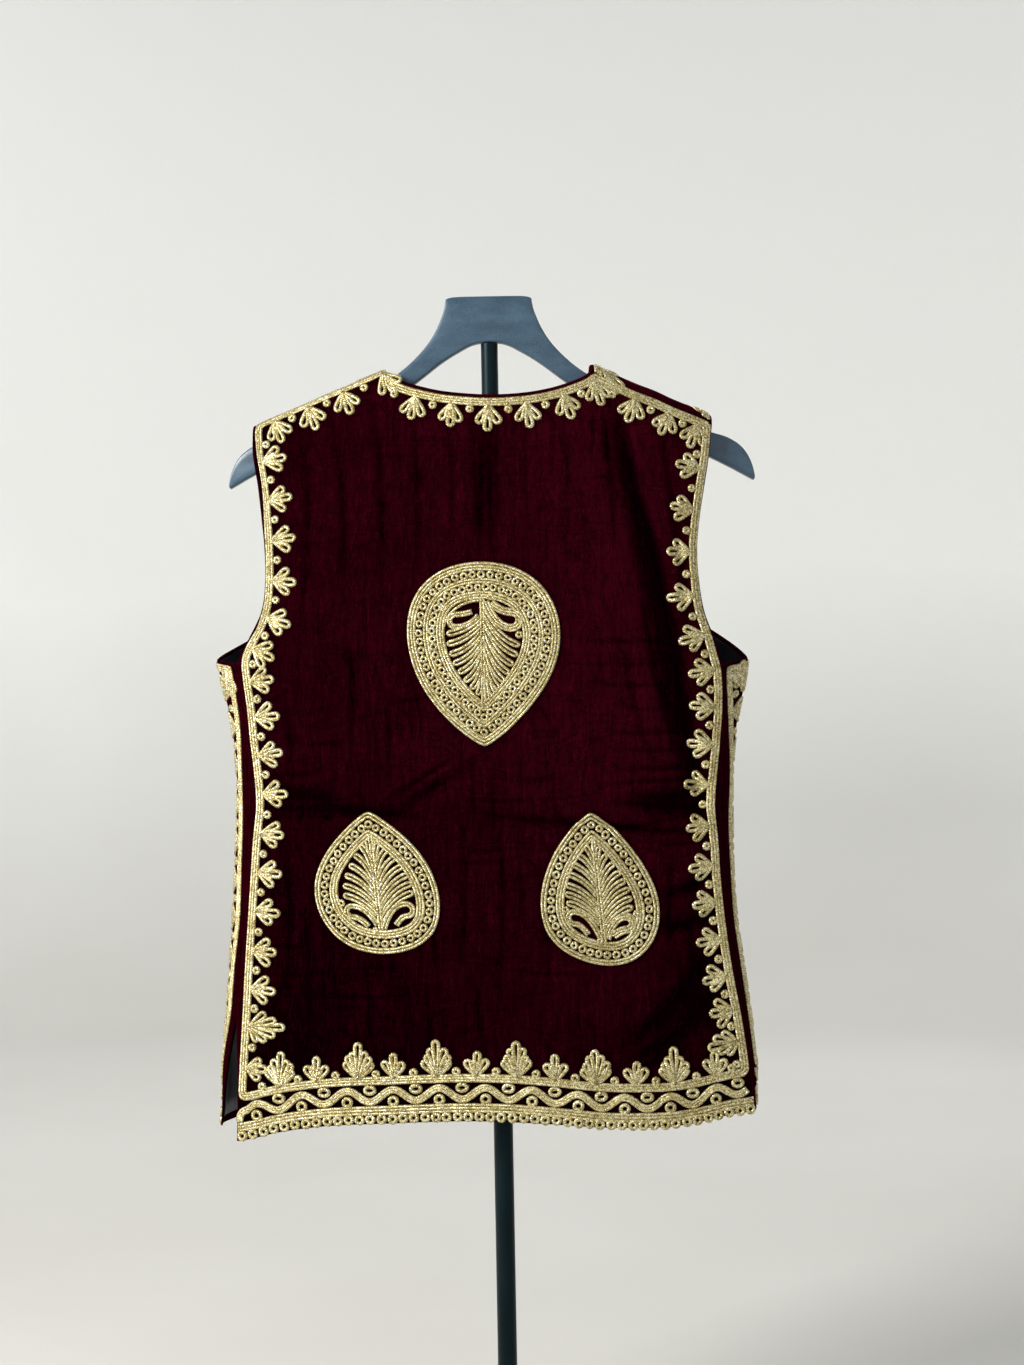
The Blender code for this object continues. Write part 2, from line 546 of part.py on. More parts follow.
def layer_solid(name, points, normals, cells, low, high, finish_material):
    """A layer of cloth between two distances from a grid's surface, over the chosen cells."""
    mesh = bmesh.new()
    lower = {}
    upper = {}

    def corner(level, store, place):
        if place not in store:
            store[place] = mesh.verts.new(Vector(points[place] + normals[place] * level) * MM)
        return store[place]

    chosen = set(cells)
    for row, column in sorted(chosen):
        ring = [(row, column), (row, column + 1), (row + 1, column + 1), (row + 1, column)]
        mesh.faces.new([corner(high, upper, place) for place in ring])
        mesh.faces.new([corner(low, lower, ring[k]) for k in (0, 3, 2, 1)])
        neighbours = [(row - 1, column), (row, column + 1), (row + 1, column), (row, column - 1)]
        for side, neighbour in enumerate(neighbours):
            if neighbour in chosen:
                continue
            first = ring[side]
            second = ring[(side + 1) % 4]
            wall = [corner(high, upper, second), corner(high, upper, first)]
            wall += [corner(low, lower, first), corner(low, lower, second)]
            mesh.faces.new(wall)
    return finish(name, mesh, finish_material)


def all_cells(points):
    return [(row, column) for row in range(points.shape[0] - 1) for column in range(points.shape[1] - 1)]


def band_cells(points, top_rows, hem_rows=5):
    """Cells of the border band: one cell wide, one cell in from every edge, closed along the hem."""
    last = points.shape[1] - 3
    upper_band = points.shape[0] - hem_rows
    cells = []
    for row in range(1, upper_band + 1):
        cells += [(row, 1), (row, last)]
    for column in range(1, last + 1):
        cells += [(top_rows, column), (upper_band, column)]
    return cells


def hem_band_cells(points):
    row = points.shape[0] - 3
    return [(row, column) for column in range(1, points.shape[1] - 2)]


def inset_edges(points, amount):
    """The same grid with its outer lines drawn in along the surface."""
    drawn = points.copy()

    def draw_in(edge, inner):
        step = inner - edge
        length = np.linalg.norm(step, axis=-1, keepdims=True)
        return edge + step * np.minimum(amount / length, 0.5)

    drawn[0] = draw_in(points[0], points[1])
    drawn[-1] = draw_in(points[-1], points[-2])
    drawn[:, 0] = draw_in(drawn[:, 0], drawn[:, 1])
    drawn[:, -1] = draw_in(drawn[:, -1], drawn[:, -2])
    return drawn


def edge_line(points, normals, which, start, stop):
    """Points along a grid's side edge, each with the direction out of the cloth and its normal."""
    column, inner = (0, 1) if which == "first" else (-1, -2)
    rows = range(start, stop) if start < stop else range(start, stop, -1)
    return [(points[row, column], points[row, column] - points[row, inner], normals[row, column])
            for row in rows]


def rolled_edge(name, line, closed, finish_material, sides=6):
    """A rolled velvet edge: a slim tube that runs just outside the cut edges of velvet and lining."""
    places = np.array([entry[0] for entry in line])
    outwards = np.array([entry[1] for entry in line])
    normals = np.array([entry[2] for entry in line])
    if closed:
        tangents = np.roll(places, -1, axis=0) - np.roll(places, 1, axis=0)
    else:
        tangents = np.gradient(places, axis=0)
    tangents /= np.linalg.norm(tangents, axis=1, keepdims=True)
    outwards -= tangents * np.sum(outwards * tangents, axis=1, keepdims=True)
    outwards /= np.linalg.norm(outwards, axis=1, keepdims=True)
    across = np.cross(tangents, outwards)
    stack_middle = (VELVET_THICKNESS / 2 + LAYER_GAP + LINING_THICKNESS - VELVET_THICKNESS / 2) / 2
    centres = places + outwards * (ROLLED_EDGE_RADIUS + ROLLED_EDGE_GAP) - normals * stack_middle
    mesh = bmesh.new()
    rings = []
    for centre, out, side in zip(centres, outwards, across):
        ring = []
        for k in range(sides):
            angle = 2 * math.pi * (k + 0.5) / sides
            offset = out * math.cos(angle) + side * math.sin(angle)
            ring.append(mesh.verts.new(Vector(centre + offset * ROLLED_EDGE_RADIUS) * MM))
        rings.append(ring)
    count = len(rings)
    for place in range(count if closed else count - 1):
        here = rings[place]
        after = rings[(place + 1) % count]
        for k in range(sides):
            mesh.faces.new([here[k], here[(k + 1) % sides], after[(k + 1) % sides], after[k]])
    if not closed:
        mesh.faces.new(rings[0][::-1])
        mesh.faces.new(rings[-1])
    return finish(name, mesh, finish_material)


def thin_out(line, least):
    """Drop points of an edge line that lie closer together than least."""
    kept = [line[0]]
    for entry in line[1:]:
        if np.linalg.norm(entry[0] - kept[-1][0]) > least:
            kept.append(entry)
    return kept


def medallion(name, sizes, panel, finish_material):
    """A leaf-shaped plate of close couching, laid on the back."""
    surface = BVHTree.FromObject(panel, bpy.context.evaluated_depsgraph_get())
    half_width = sizes["width"] / 2 / 0.795
    mesh = bmesh.new()

    def lay(x, z, lift):
        place, normal, _, _ = surface.ray_cast(Vector((x * MM, -0.3, z * MM)), Vector((0, 1, 0)))
        return mesh.verts.new(place + Vector((0, -1, 0)) * lift * MM)

    low_rings = []
    high_rings = []
    for ring in MEDALLION_RINGS:
        low_ring = []
        high_ring = []
        for k in range(MEDALLION_POINTS):
            t = 2 * math.pi * k / MEDALLION_POINTS
            across = half_width * math.sin(t) * abs(math.sin(t / 2)) ** 0.8
            up = sizes["height"] / 2 * math.cos(t) * sizes["tip"]
            x = sizes["x"] + ring * (across - sizes["lean"] * up)
            z = sizes["z"] + ring * up
            low_ring.append(lay(x, z, MEDALLION_LIFT))
            dome = COUCHING_THICKNESS if ring > 0.6 else COUCHING_THICKNESS * 0.8
            high_ring.append(lay(x, z, MEDALLION_LIFT + dome))
        low_rings.append(low_ring)
        high_rings.append(high_ring)
    low_middle = lay(sizes["x"], sizes["z"], MEDALLION_LIFT)
    high_middle = lay(sizes["x"], sizes["z"], MEDALLION_LIFT + COUCHING_THICKNESS)
    count = MEDALLION_POINTS
    for k in range(count):
        after = (k + 1) % count
        mesh.faces.new([high_rings[0][k], high_rings[0][after], low_rings[0][after], low_rings[0][k]])
        for rings, middle, flip in ((high_rings, high_middle, False), (low_rings, low_middle, True)):
            for outer, inner in zip(rings, rings[1:]):
                face = [outer[k], inner[k], inner[after], outer[after]]
                mesh.faces.new(face[::-1] if flip else face)
            face = [rings[-1][k], middle, rings[-1][after]]
            mesh.faces.new(face[::-1] if flip else face)
    return finish(name, mesh, finish_material)


# ---------------------------------------------------------------- the stand
def round_bar(name, radius, low, high, edge, segments, finish_material):
    mesh = bmesh.new()
    profile = [(0, low), (radius - edge, low), (radius, low + edge), (radius, high - edge),
               (radius - edge, high), (0, high)]
    points = [mesh.verts.new(Vector((r, 0, z)) * MM) for r, z in profile]
    lines = [mesh.edges.new(pair) for pair in zip(points, points[1:])]
    bmesh.ops.spin(mesh, geom=points + lines, cent=(0, 0, 0), axis=(0, 0, 1), angle=2 * math.pi,
                   steps=segments, use_merge=True)
    bmesh.ops.remove_doubles(mesh, verts=mesh.verts[:], dist=0.00001)
    bmesh.ops.recalc_face_normals(mesh, faces=mesh.faces[:])
    return finish(name, mesh, finish_material)


def hanger_head(finish_material):
    """The hanger-shaped head: one loft of chamfered sections from the left tip to the right tip."""
    mesh = bmesh.new()
    half = list(zip(*HEAD_SECTIONS.values()))
    stations = [(-top_x, top, -under_x, under) for top_x, top, under_x, under in half[:0:-1]] + half
    rings = []
    for top_x, top_depth, under_x, under_depth in stations:
        top = np.array([top_x, STAND_HEIGHT - top_depth])
        under = np.array([under_x, STAND_HEIGHT - under_depth])
        length = np.linalg.norm(under - top)
        down = (under - top) / length
        chamfer = min(HEAD_CHAMFER, 0.3 * length)
        reach = HEAD_THICKNESS / 2
        middle_y = float(sweep((top_x + under_x) / 2))
        section = [
            (top, chamfer - reach), (top, reach - chamfer), (top + down * chamfer, reach),
            (under - down * chamfer, reach), (under, reach - chamfer), (under, chamfer - reach),
            (under - down * chamfer, -reach), (top + down * chamfer, -reach),
        ]
        rings.append([mesh.verts.new(Vector((spot[0], middle_y + y, spot[1])) * MM) for spot, y in section])
    for here, after in zip(rings, rings[1:]):
        for k in range(8):
            mesh.faces.new([here[k], here[(k + 1) % 8], after[(k + 1) % 8], after[k]])
    mesh.faces.new(rings[0][::-1])
    mesh.faces.new(rings[-1])
    return finish("hanger_head", mesh, finish_material)


def build_stand():
    black_steel = material("black_enamelled_steel", (0.012, 0.014, 0.014), 0.3, 0.0)
    slate = material("slate_lacquer", (0.035, 0.05, 0.065), 0.42)
    round_bar("stand_base", BASE_RADIUS, 0.0, BASE_THICKNESS, 1.5, 40, black_steel)
    round_bar("pole_lower", LOWER_POLE_RADIUS, BASE_THICKNESS + LAYER_GAP, POLE_JOINT_HEIGHT, 0.8, 20,
              black_steel)
    pole_top = STAND_HEIGHT - ARCH_DEPTH - 0.6
    round_bar("pole_upper", UPPER_POLE_RADIUS, POLE_JOINT_HEIGHT + LAYER_GAP, pole_top, 0.6, 20, black_steel)
    hanger_head(slate)


def build_vest():
    velvet = material("maroon_velvet", (0.02, 0.0015, 0.006), 0.8)
    satin = material("black_satin", (0.006, 0.006, 0.012), 0.4)
    couching = material("gold_couching", (0.52, 0.42, 0.2), 0.4, 0.5)
    velvet_half = VELVET_THICKNESS / 2
    lining_top = -(velvet_half + LINING_GAP)
    band_low = velvet_half + LAYER_GAP
    band_high = band_low + COUCHING_THICKNESS

    grids = {"back": back_grid(), "front_left": front_grid("left"), "front_right": front_grid("right")}
    out = {"back": (0, -1, 0), "front_left": (-0.2, 1, 0), "front_right": (0.2, 1, 0)}
    normals = {part: grid_normals(points, out[part]) for part, points in grids.items()}
    panels = {}
    for part, points in grids.items():
        normal = normals[part]
        panels[part] = layer_solid("vest_" + part, points, normal, all_cells(points), -velvet_half,
                                   velvet_half, velvet)
        inner = inset_edges(points, LINING_INSET)
        layer_solid("lining_" + part, inner, normal, all_cells(inner), lining_top - LINING_THICKNESS,
                    lining_top, satin)
        layer_solid("border_" + part, points, normal, band_cells(points, 1), band_low, band_high, couching)
        layer_solid("hem_band_" + part, points, normal, hem_band_cells(points), band_low, band_high, couching)
    bpy.context.view_layer.update()
    for name, sizes in MEDALLIONS.items():
        medallion(name, sizes, panels["back"], couching)
    build_rolled_edges(grids, normals, velvet)


def build_rolled_edges(grids, normals, velvet):
    back = grids["back"]
    underarm = 3 + 9
    neck_line = []
    for side in ("left", "right"):
        front = grids["front_" + side]
        front_normals = normals["front_" + side]
        front_top = front.shape[0] - 5 - (len(FRONT_ROWS[side]["row"]) - 1)
        seam_row = front_top + 10
        which = "first" if side == "left" else "last"
        line = edge_line(back, normals["back"], which, 0, underarm)
        line += edge_line(front, front_normals, "first", seam_row - 1, -1)
        rolled_edge("armhole_edge_" + side, thin_out(line, 2.0), True, velvet)
        neck_row = front_top + 6
        neck = edge_line(front, front_normals, "last", neck_row - 2, -1)
        if side == "left":
            neck_line += neck
            top = back[0]
            inside = [k for k in range(back.shape[1]) if -85 < top[k][0] < 85]
            neck_line += [(top[k], top[k] - back[1, k], normals["back"][0, k]) for k in inside]
        else:
            neck_line += neck[::-1]
    rolled_edge("neck_edge", thin_out(neck_line, 2.0), False, velvet)


for old in list(bpy.data.objects):
    bpy.data.objects.remove(old, do_unlink=True)
build_stand()
build_vest()
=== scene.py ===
# %% [markdown]
# # An embroidered velvet vest on a garment stand
#
# The vest hangs over the arms of a hanger-shaped head on a slim pole.  Its velvet is nearly black maroon
# and crushed in fine upright creases; raised gold cord is couched all round every piece, and three leaf
# medallions fill the back.  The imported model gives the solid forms.  This script dresses them: thin
# cloth shells take the place of the soft solids, every gold cord is laid on the cloth at its real width,
# and each surface gets a material built from nodes.

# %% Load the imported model
import math
from functools import partial

import bmesh
import bpy
import numpy as np
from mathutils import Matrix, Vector


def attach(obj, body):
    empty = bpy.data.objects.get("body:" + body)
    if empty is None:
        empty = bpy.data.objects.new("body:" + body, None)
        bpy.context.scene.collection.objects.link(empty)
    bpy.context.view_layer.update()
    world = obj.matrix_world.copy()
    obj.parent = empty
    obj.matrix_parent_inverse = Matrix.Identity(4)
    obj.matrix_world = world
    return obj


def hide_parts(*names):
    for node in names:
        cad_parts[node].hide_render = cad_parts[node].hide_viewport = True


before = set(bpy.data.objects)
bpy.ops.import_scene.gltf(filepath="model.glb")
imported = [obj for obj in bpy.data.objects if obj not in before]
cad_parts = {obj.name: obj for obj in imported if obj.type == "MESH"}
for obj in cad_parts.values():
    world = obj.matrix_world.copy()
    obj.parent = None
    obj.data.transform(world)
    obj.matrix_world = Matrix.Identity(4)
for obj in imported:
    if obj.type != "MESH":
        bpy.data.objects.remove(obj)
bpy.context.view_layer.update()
MM = 0.001
print("nodes of the packed model:", len(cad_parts))

# %% [markdown]
# ## The camera
#
# The camera comes first, because everything below is judged through it.  It stands level, a little right
# of the pole and 1.73 m from it, behind the wearer, so it sees the embroidered back.  It is turned by one
# degree, as a camera held in the hand is.

# %% Camera
CAMERA_PLACE = (0.014, -1.728, 0.706)
CAMERA_LENS_MM = 54.1
CAMERA_ROLL = math.radians(1.03)

camera_data = bpy.data.cameras.new("camera")
camera_data.lens = CAMERA_LENS_MM
camera_data.sensor_width = 36.0
camera = bpy.data.objects.new("camera", camera_data)
camera.location = CAMERA_PLACE
camera.rotation_euler = (math.pi / 2, CAMERA_ROLL, 0.0)
bpy.context.scene.collection.objects.link(camera)
bpy.context.scene.camera = camera

# %% [markdown]
# ## Helpers for materials
#
# Colours are picked as sRGB hex values, but shaders work in linear light, so one function converts them.
# A second one adds a node, sets it up and links its inputs in one line.  That keeps each material short
# enough to read from top to bottom.


# %% Colour and node helpers
def linear(hex_colour):
    """Linear RGBA of an sRGB hex colour."""
    channels = [int(hex_colour[k:k + 2], 16) / 255 for k in (0, 2, 4)]
    return tuple(c / 12.92 if c <= 0.04045 else ((c + 0.055) / 1.055) ** 2.4 for c in channels) + (1.0,)


def add_node(tree, kind, inputs=None, **settings):
    """Add a node with its settings; an input is given a value or linked to a socket."""
    made = tree.nodes.new(kind)
    for name, value in settings.items():
        setattr(made, name, value)
    for name, value in (inputs or {}).items():
        if isinstance(value, bpy.types.NodeSocket):
            tree.links.new(value, made.inputs[name])
        else:
            made.inputs[name].default_value = value
    return made


def new_material(name):
    """An empty material with a Principled shader: returns the material, its tree and the shader."""
    made = bpy.data.materials.new(name)
    made.use_nodes = True
    return made, made.node_tree, made.node_tree.nodes["Principled BSDF"]


def in_millimetres(tree, stretch):
    """Object coordinates in millimetres, divided by the size of the pattern's grain along X, Y and Z."""
    place = add_node(tree, "ShaderNodeTexCoord").outputs["Object"]
    scale = tuple(1000.0 / size for size in stretch)
    return add_node(tree, "ShaderNodeMapping", {"Vector": place, "Scale": scale}).outputs["Vector"]


def ramp(tree, factor, *stops):
    """A colour ramp through (place, colour) stops."""
    made = add_node(tree, "ShaderNodeValToRGB", {"Fac": factor})
    while len(made.color_ramp.elements) < len(stops):
        made.color_ramp.elements.new(0.5)
    for element, (place, colour) in zip(made.color_ramp.elements, stops):
        element.position = place
        element.color = colour
    return made.outputs["Color"]


def grey(value):
    """RGBA of a linear grey."""
    return (value, value, value, 1.0)


def noise(tree, stretch, detail, **more):
    """Noise whose grain has the given size in millimetres; more sets further inputs."""
    return add_node(tree, "ShaderNodeTexNoise", {
        "Vector": in_millimetres(tree, stretch), "Scale": 1.0, "Detail": detail, **more}).outputs["Fac"]


def maths(tree, operation, *values):
    """Result of a Math node."""
    return add_node(tree, "ShaderNodeMath", dict(enumerate(values)), operation=operation).outputs[0]


def mapped(tree, value, low, high, at_low, at_high):
    """A value that runs from at_low to at_high while the input runs from low to high."""
    return add_node(tree, "ShaderNodeMapRange", {
        "Value": value, "From Min": low, "From Max": high, "To Min": at_low,
        "To Max": at_high}).outputs["Result"]


def object_place(tree):
    """Object coordinates in metres, as separate X, Y and Z outputs."""
    place = add_node(tree, "ShaderNodeTexCoord").outputs["Object"]
    return add_node(tree, "ShaderNodeSeparateXYZ", {"Vector": place}).outputs


def dress(tree, shader, colour, height, strength, distance, **constants):
    """Give the shader its colour, its bump and its further inputs, which are named without spaces."""
    bump = add_node(tree, "ShaderNodeBump", {"Height": height, "Strength": strength, "Distance": distance})
    tree.links.new(colour, shader.inputs["Base Color"])
    tree.links.new(bump.outputs["Normal"], shader.inputs["Normal"])
    for name, value in constants.items():
        socket = shader.inputs[name.replace("_", " ")]
        if isinstance(value, bpy.types.NodeSocket):
            tree.links.new(value, socket)
        else:
            socket.default_value = value


# %% [markdown]
# ## Velvet
#
# Velvet is a cut pile of silk or rayon about 1 mm tall.  Seen straight on, it swallows light and looks
# nearly black; seen along the pile, the fibre sides shine.  Principled's sheen lobe does just that.  This
# cloth is crushed: thousands of short upright creases catch a little light on one side.  Stretched ridged
# noise draws them in the bump and, more faintly, as painted highlights in the colour.  Painted shade
# darkens the long creases, the folds, the velvet beside the cords, the side strips and the lower part, and
# a painted sheen lightens it towards the right.


# %% Velvet material
def crinkle_lines(tree, stretch, distortion, thin=0.045, detail=2.0):
    """Thin wandering lines: 1 on a line and 0 between the lines."""
    away = maths(tree, "SUBTRACT", noise(tree, stretch, detail, Distortion=distortion), 0.5)
    return mapped(tree, maths(tree, "ABSOLUTE", away), 0.0, thin, 1.0, 0.0)


def weighted_sum(tree, *terms):
    """Sum of (output, weight) pairs."""
    total = 0.0
    for output, weight in terms:
        total = maths(tree, "MULTIPLY_ADD", output, weight, total)
    return total


def make_velvet():
    """Crushed velvet, creased and patchy, with painted shade and a painted sheen in its colour."""
    made, tree, shader = new_material("crushed silk velvet, maroon")
    upright = crinkle_lines(tree, (5.0, 5.0, 30.0), 0.9)
    short = crinkle_lines(tree, (3.2, 3.2, 9.0), 1.4)
    across = crinkle_lines(tree, (26.0, 26.0, 6.0), 1.1)
    # a few long creases, where the vest was folded and hung
    long_upright = crinkle_lines(tree, (24.0, 24.0, 90.0), 1.2, 0.03, 1.0)
    long_across = crinkle_lines(tree, (90.0, 90.0, 26.0), 1.5, 0.03, 1.0)
    soft = noise(tree, (4.5, 4.5, 24.0), 3.0, Distortion=0.7)
    # the pile's tufts are 0.3 mm apart; they are drawn at 1.1 mm, so that they show at all
    pile = noise(tree, (1.1, 1.1, 1.6), 2.0)
    patches = noise(tree, (60.0, 60.0, 80.0), 3.0)
    # painted shade: darker below the waist, and darker down in the folds through a mesh attribute
    where = object_place(tree)
    painted_low_shade = mapped(tree, where["Z"], 0.42, 0.65, 1.0, 0.0)
    # painted sheen: lighter towards the right; and painted shade along the right edge
    painted_right_sheen = mapped(tree, where["X"], -0.16, 0.12, -0.35, 0.65)
    painted_edge_shade = mapped(tree, where["X"], 0.12, 0.16, 0.0, 1.0)
    # painted shade from a mesh attribute: folds, creases, beside the cords and on the side strips
    painted_fold_shade = add_node(tree, "ShaderNodeAttribute", attribute_name="painted_pile_shade").outputs["Fac"]
    # the crinkle lines add painted highlights and the long creases painted shade; soft, patches and pile are
    # random tone
    tone = weighted_sum(tree, (soft, 0.34), (patches, 0.26), (upright, 0.09), (short, 0.07), (across, 0.06),
                        (long_upright, -0.05), (long_across, -0.06), (pile, 0.2), (painted_low_shade, -0.15),
                        (painted_right_sheen, 0.2), (painted_edge_shade, -0.1), (painted_fold_shade, -0.055))
    colour = ramp(tree, tone, (0.18, linear("060001")), (0.3, linear("160004")), (0.43, linear("200108")),
                  (0.6, linear("33030F")))
    height = weighted_sum(tree, (soft, 0.34), (upright, 0.13), (short, 0.07), (across, 0.08), (pile, 0.1),
                          (long_upright, -0.14), (long_across, -0.16))
    dress(tree, shader, colour, height, 1.0, 0.004, Roughness=0.9, Specular_IOR_Level=0.0,
          Sheen_Weight=0.2, Sheen_Roughness=0.32, Sheen_Tint=linear("A50C3E"))
    return made


# %% [markdown]
# ## Satin lining
#
# The lining is a black acetate satin: long floats give a narrow, silky highlight across the threads and
# faint upright streaks.  It shows inside the armholes, at the neck and in the open hem vents.


# %% Lining material
def make_satin():
    """Lining satin with fine upright threads and soft creases."""
    made, tree, shader = new_material("black acetate satin")
    # threads lie 0.15 mm apart and are drawn at 0.7 mm
    threads = noise(tree, (0.7, 0.7, 9.0), 2.0)
    creases = noise(tree, (14.0, 14.0, 30.0), 3.0)
    colour = ramp(tree, creases, (0.35, linear("0B0A10")), (0.7, linear("1C1B26")))
    dress(tree, shader, colour, maths(tree, "MULTIPLY_ADD", threads, 0.15, creases), 0.5, 0.002,
          Roughness=0.42, Sheen_Weight=0.3, Sheen_Tint=linear("5A5A78"))
    return made


# %% [markdown]
# ## Gold cord
#
# The cord is gilt foil wound round a cotton core and plied in two, with a lay of 1.5 mm.  Metal
# foil on a soft core never shines like a wire: the many small facets spread its highlight, and the
# grooves between plies look brown.  Both are painted into the colour, as painted glints on the facets and
# painted shade in the grooves.  The pattern follows the cord itself, so it reads the UV map, which
# holds millimetres along the cord and turns around it.


# %% Gold cord material
CORD_LAY = 1.5


def make_gold_cord():
    """Plied gilt cord, drawn along each cord's own UV map."""
    made, tree, shader = new_material("gilt couching cord")
    place = add_node(tree, "ShaderNodeUVMap", uv_map="cord").outputs["UV"]
    split = add_node(tree, "ShaderNodeSeparateXYZ", {"Vector": place}).outputs
    lay = maths(tree, "MULTIPLY", split["X"], 1 / CORD_LAY)
    turn = maths(tree, "MULTIPLY_ADD", split["Y"], 2.0, lay)
    ply_and_groove_shade = maths(tree, "SINE", maths(tree, "MULTIPLY", turn, 2 * math.pi))
    # facets of the foil, a millimetre across: each has its own roughness and a painted glint of its own
    # brightness in the colour
    facets = add_node(tree, "ShaderNodeTexVoronoi", {
        "Vector": in_millimetres(tree, (0.95, 0.95, 0.95)), "Scale": 1.0}).outputs["Color"]
    facets_and_painted_glint = add_node(tree, "ShaderNodeSeparateColor", {"Color": facets}).outputs["Red"]
    tarnish = noise(tree, (22.0, 22.0, 22.0), 3.0)
    # painted highlight and shade: the glints lighten the colour and the ply grooves darken it, over the
    # tarnish's random tone
    light = weighted_sum(tree, (ply_and_groove_shade, 0.13), (facets_and_painted_glint, 0.7), (tarnish, 0.35))
    colour = ramp(tree, light, (0.12, linear("675528")), (0.38, linear("A79660")), (0.66, linear("CDC28E")),
                  (0.85, linear("EEEACF")))
    rough = ramp(tree, facets_and_painted_glint, (0.2, grey(0.5)), (0.9, grey(0.3)))
    dress(tree, shader, colour, maths(tree, "MULTIPLY_ADD", ply_and_groove_shade, 0.35, facets_and_painted_glint), 0.6, 0.0005,
          Roughness=rough, Metallic=0.7)
    return made


# %% [markdown]
# ## Lacquer and enamel
#
# The head is moulded in hard plastic and lacquered slate blue: satin, with a faint orange peel.  The
# pole and base are steel in black stove enamel, glossier, with a few hairline rubs.  Both are
# dielectrics with the default IOR; the enamel's reflection is held down and tinted a little blue.


# %% Lacquer and enamel materials
def make_lacquer():
    """Satin slate lacquer with orange peel, faint rubs and a fine speckle of dust."""
    made, tree, shader = new_material("slate lacquered ABS")
    peel = noise(tree, (2.2, 2.2, 2.2), 3.0)
    rubs = noise(tree, (30.0, 30.0, 12.0), 5.0)
    speckle = noise(tree, (1.3, 1.3, 1.3), 2.0)
    tone = weighted_sum(tree, (rubs, 0.6), (speckle, 0.4))
    colour = ramp(tree, tone, (0.36, linear("2B4052")), (0.64, linear("405A6E")))
    rough = ramp(tree, rubs, (0.3, grey(0.34)), (0.75, grey(0.46)))
    dress(tree, shader, colour, peel, 0.12, 0.0004, Roughness=rough)
    return made


def make_enamel():
    """Black enamel with orange peel and a little dust."""
    made, tree, shader = new_material("black stove enamel on steel")
    peel = noise(tree, (3.0, 3.0, 3.0), 2.0)
    dust = noise(tree, (18.0, 18.0, 60.0), 5.0)
    colour = ramp(tree, dust, (0.35, linear("040C0E")), (0.8, linear("09171C")))
    rough = ramp(tree, dust, (0.3, grey(0.34)), (0.8, grey(0.5)))
    dress(tree, shader, colour, peel, 0.06, 0.0004, Roughness=rough, Specular_IOR_Level=0.2,
          Specular_Tint=linear("A9CBD8"))
    return made


velvet = make_velvet()
satin = make_satin()
gold_cord = make_gold_cord()
lacquer = make_lacquer()
enamel = make_enamel()
print("materials:", ", ".join(m.name for m in (velvet, satin, gold_cord, lacquer, enamel)))

# %% [markdown]
# ## The form the cloth hangs in
#
# A worn or hung garment is first of all a set of measured curves: the slope of the shoulders, the
# armholes, the side seams and the hem.  Each curve is kept as a short table and read through a smooth
# spline.  All numbers in these tables are millimetres, with X to the wearer's right, Y forwards and Z up,
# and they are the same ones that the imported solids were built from.


# %% Tables of the form
def table(columns, *rows):
    """Named columns of a short table, sorted by the first one."""
    cells = np.array(sorted(rows), dtype=float)
    return {name: cells[:, place] for place, name in enumerate(columns.split())}


def cubic(values, slopes, low, t, step=1.0):
    """Smooth curve from values[low] to values[low + 1], which has the given slopes at both."""
    return (
        values[low] * (1 + 2 * t) * (1 - t) ** 2
        + slopes[low] * step * t * (1 - t) ** 2
        + values[low + 1] * t * t * (3 - 2 * t)
        + slopes[low + 1] * step * t * t * (t - 1)
    )


def read(rows, column, at):
    """A column's value where the first column equals at, on a smooth curve through the rows."""
    knots = next(iter(rows.values()))
    values = rows[column]
    slopes = np.gradient(values, knots)
    at = np.clip(np.asarray(at, dtype=float), knots[0], knots[-1])
    low = np.clip(np.searchsorted(knots, at) - 1, 0, len(knots) - 2)
    step = knots[low + 1] - knots[low]
    return cubic(values, slopes, low, (at - knots[low]) / step, step)


def ease(t):
    """A soft step from 0 to 1 while t runs from 0 to 1."""
    t = np.clip(t, 0.0, 1.0)
    return t * t * (3 - 2 * t)


# Top line of the cloth where it lies over the arms of the head
RIDGE = table(
    "x z",
    (-215, 922.0), (-201, 928.0), (-190, 932.5), (-178, 937.0), (-160, 943.5), (-140, 951.5),
    (-122, 958.0), (-104, 965.0), (-90, 970.0), (-80, 971.5), (0, 972.0), (80, 973.5), (88, 972.5),
    (101, 966.5), (124, 956.5), (140, 950.5), (153, 944.5), (172, 937.0), (188, 930.5), (200, 926.0),
)
# Cut edge of the back's neck, below the ridge
BACK_NECK = table(
    "x z",
    (-87.0, 970.2), (-84, 964.6), (-75, 959.0), (-58, 953.1), (-42, 949.2), (-25, 946.8), (-3, 945.1),
    (21, 945.6), (42, 948.1), (58, 951.8), (72, 956.6), (80, 960.0), (84, 962.4), (87.0, 965.2),
)
# Cut edge of the back's hem
BACK_HEM = table(
    "x z",
    (-222, 330.0), (-205, 333.5), (-190, 337.5), (-156, 343.0), (-92, 346.5), (-20, 347.5), (44, 343.5),
    (80, 340.2), (107, 339.0), (140, 338.8), (158, 340.5), (175, 343.5), (190, 346.0), (214, 347.5),
)
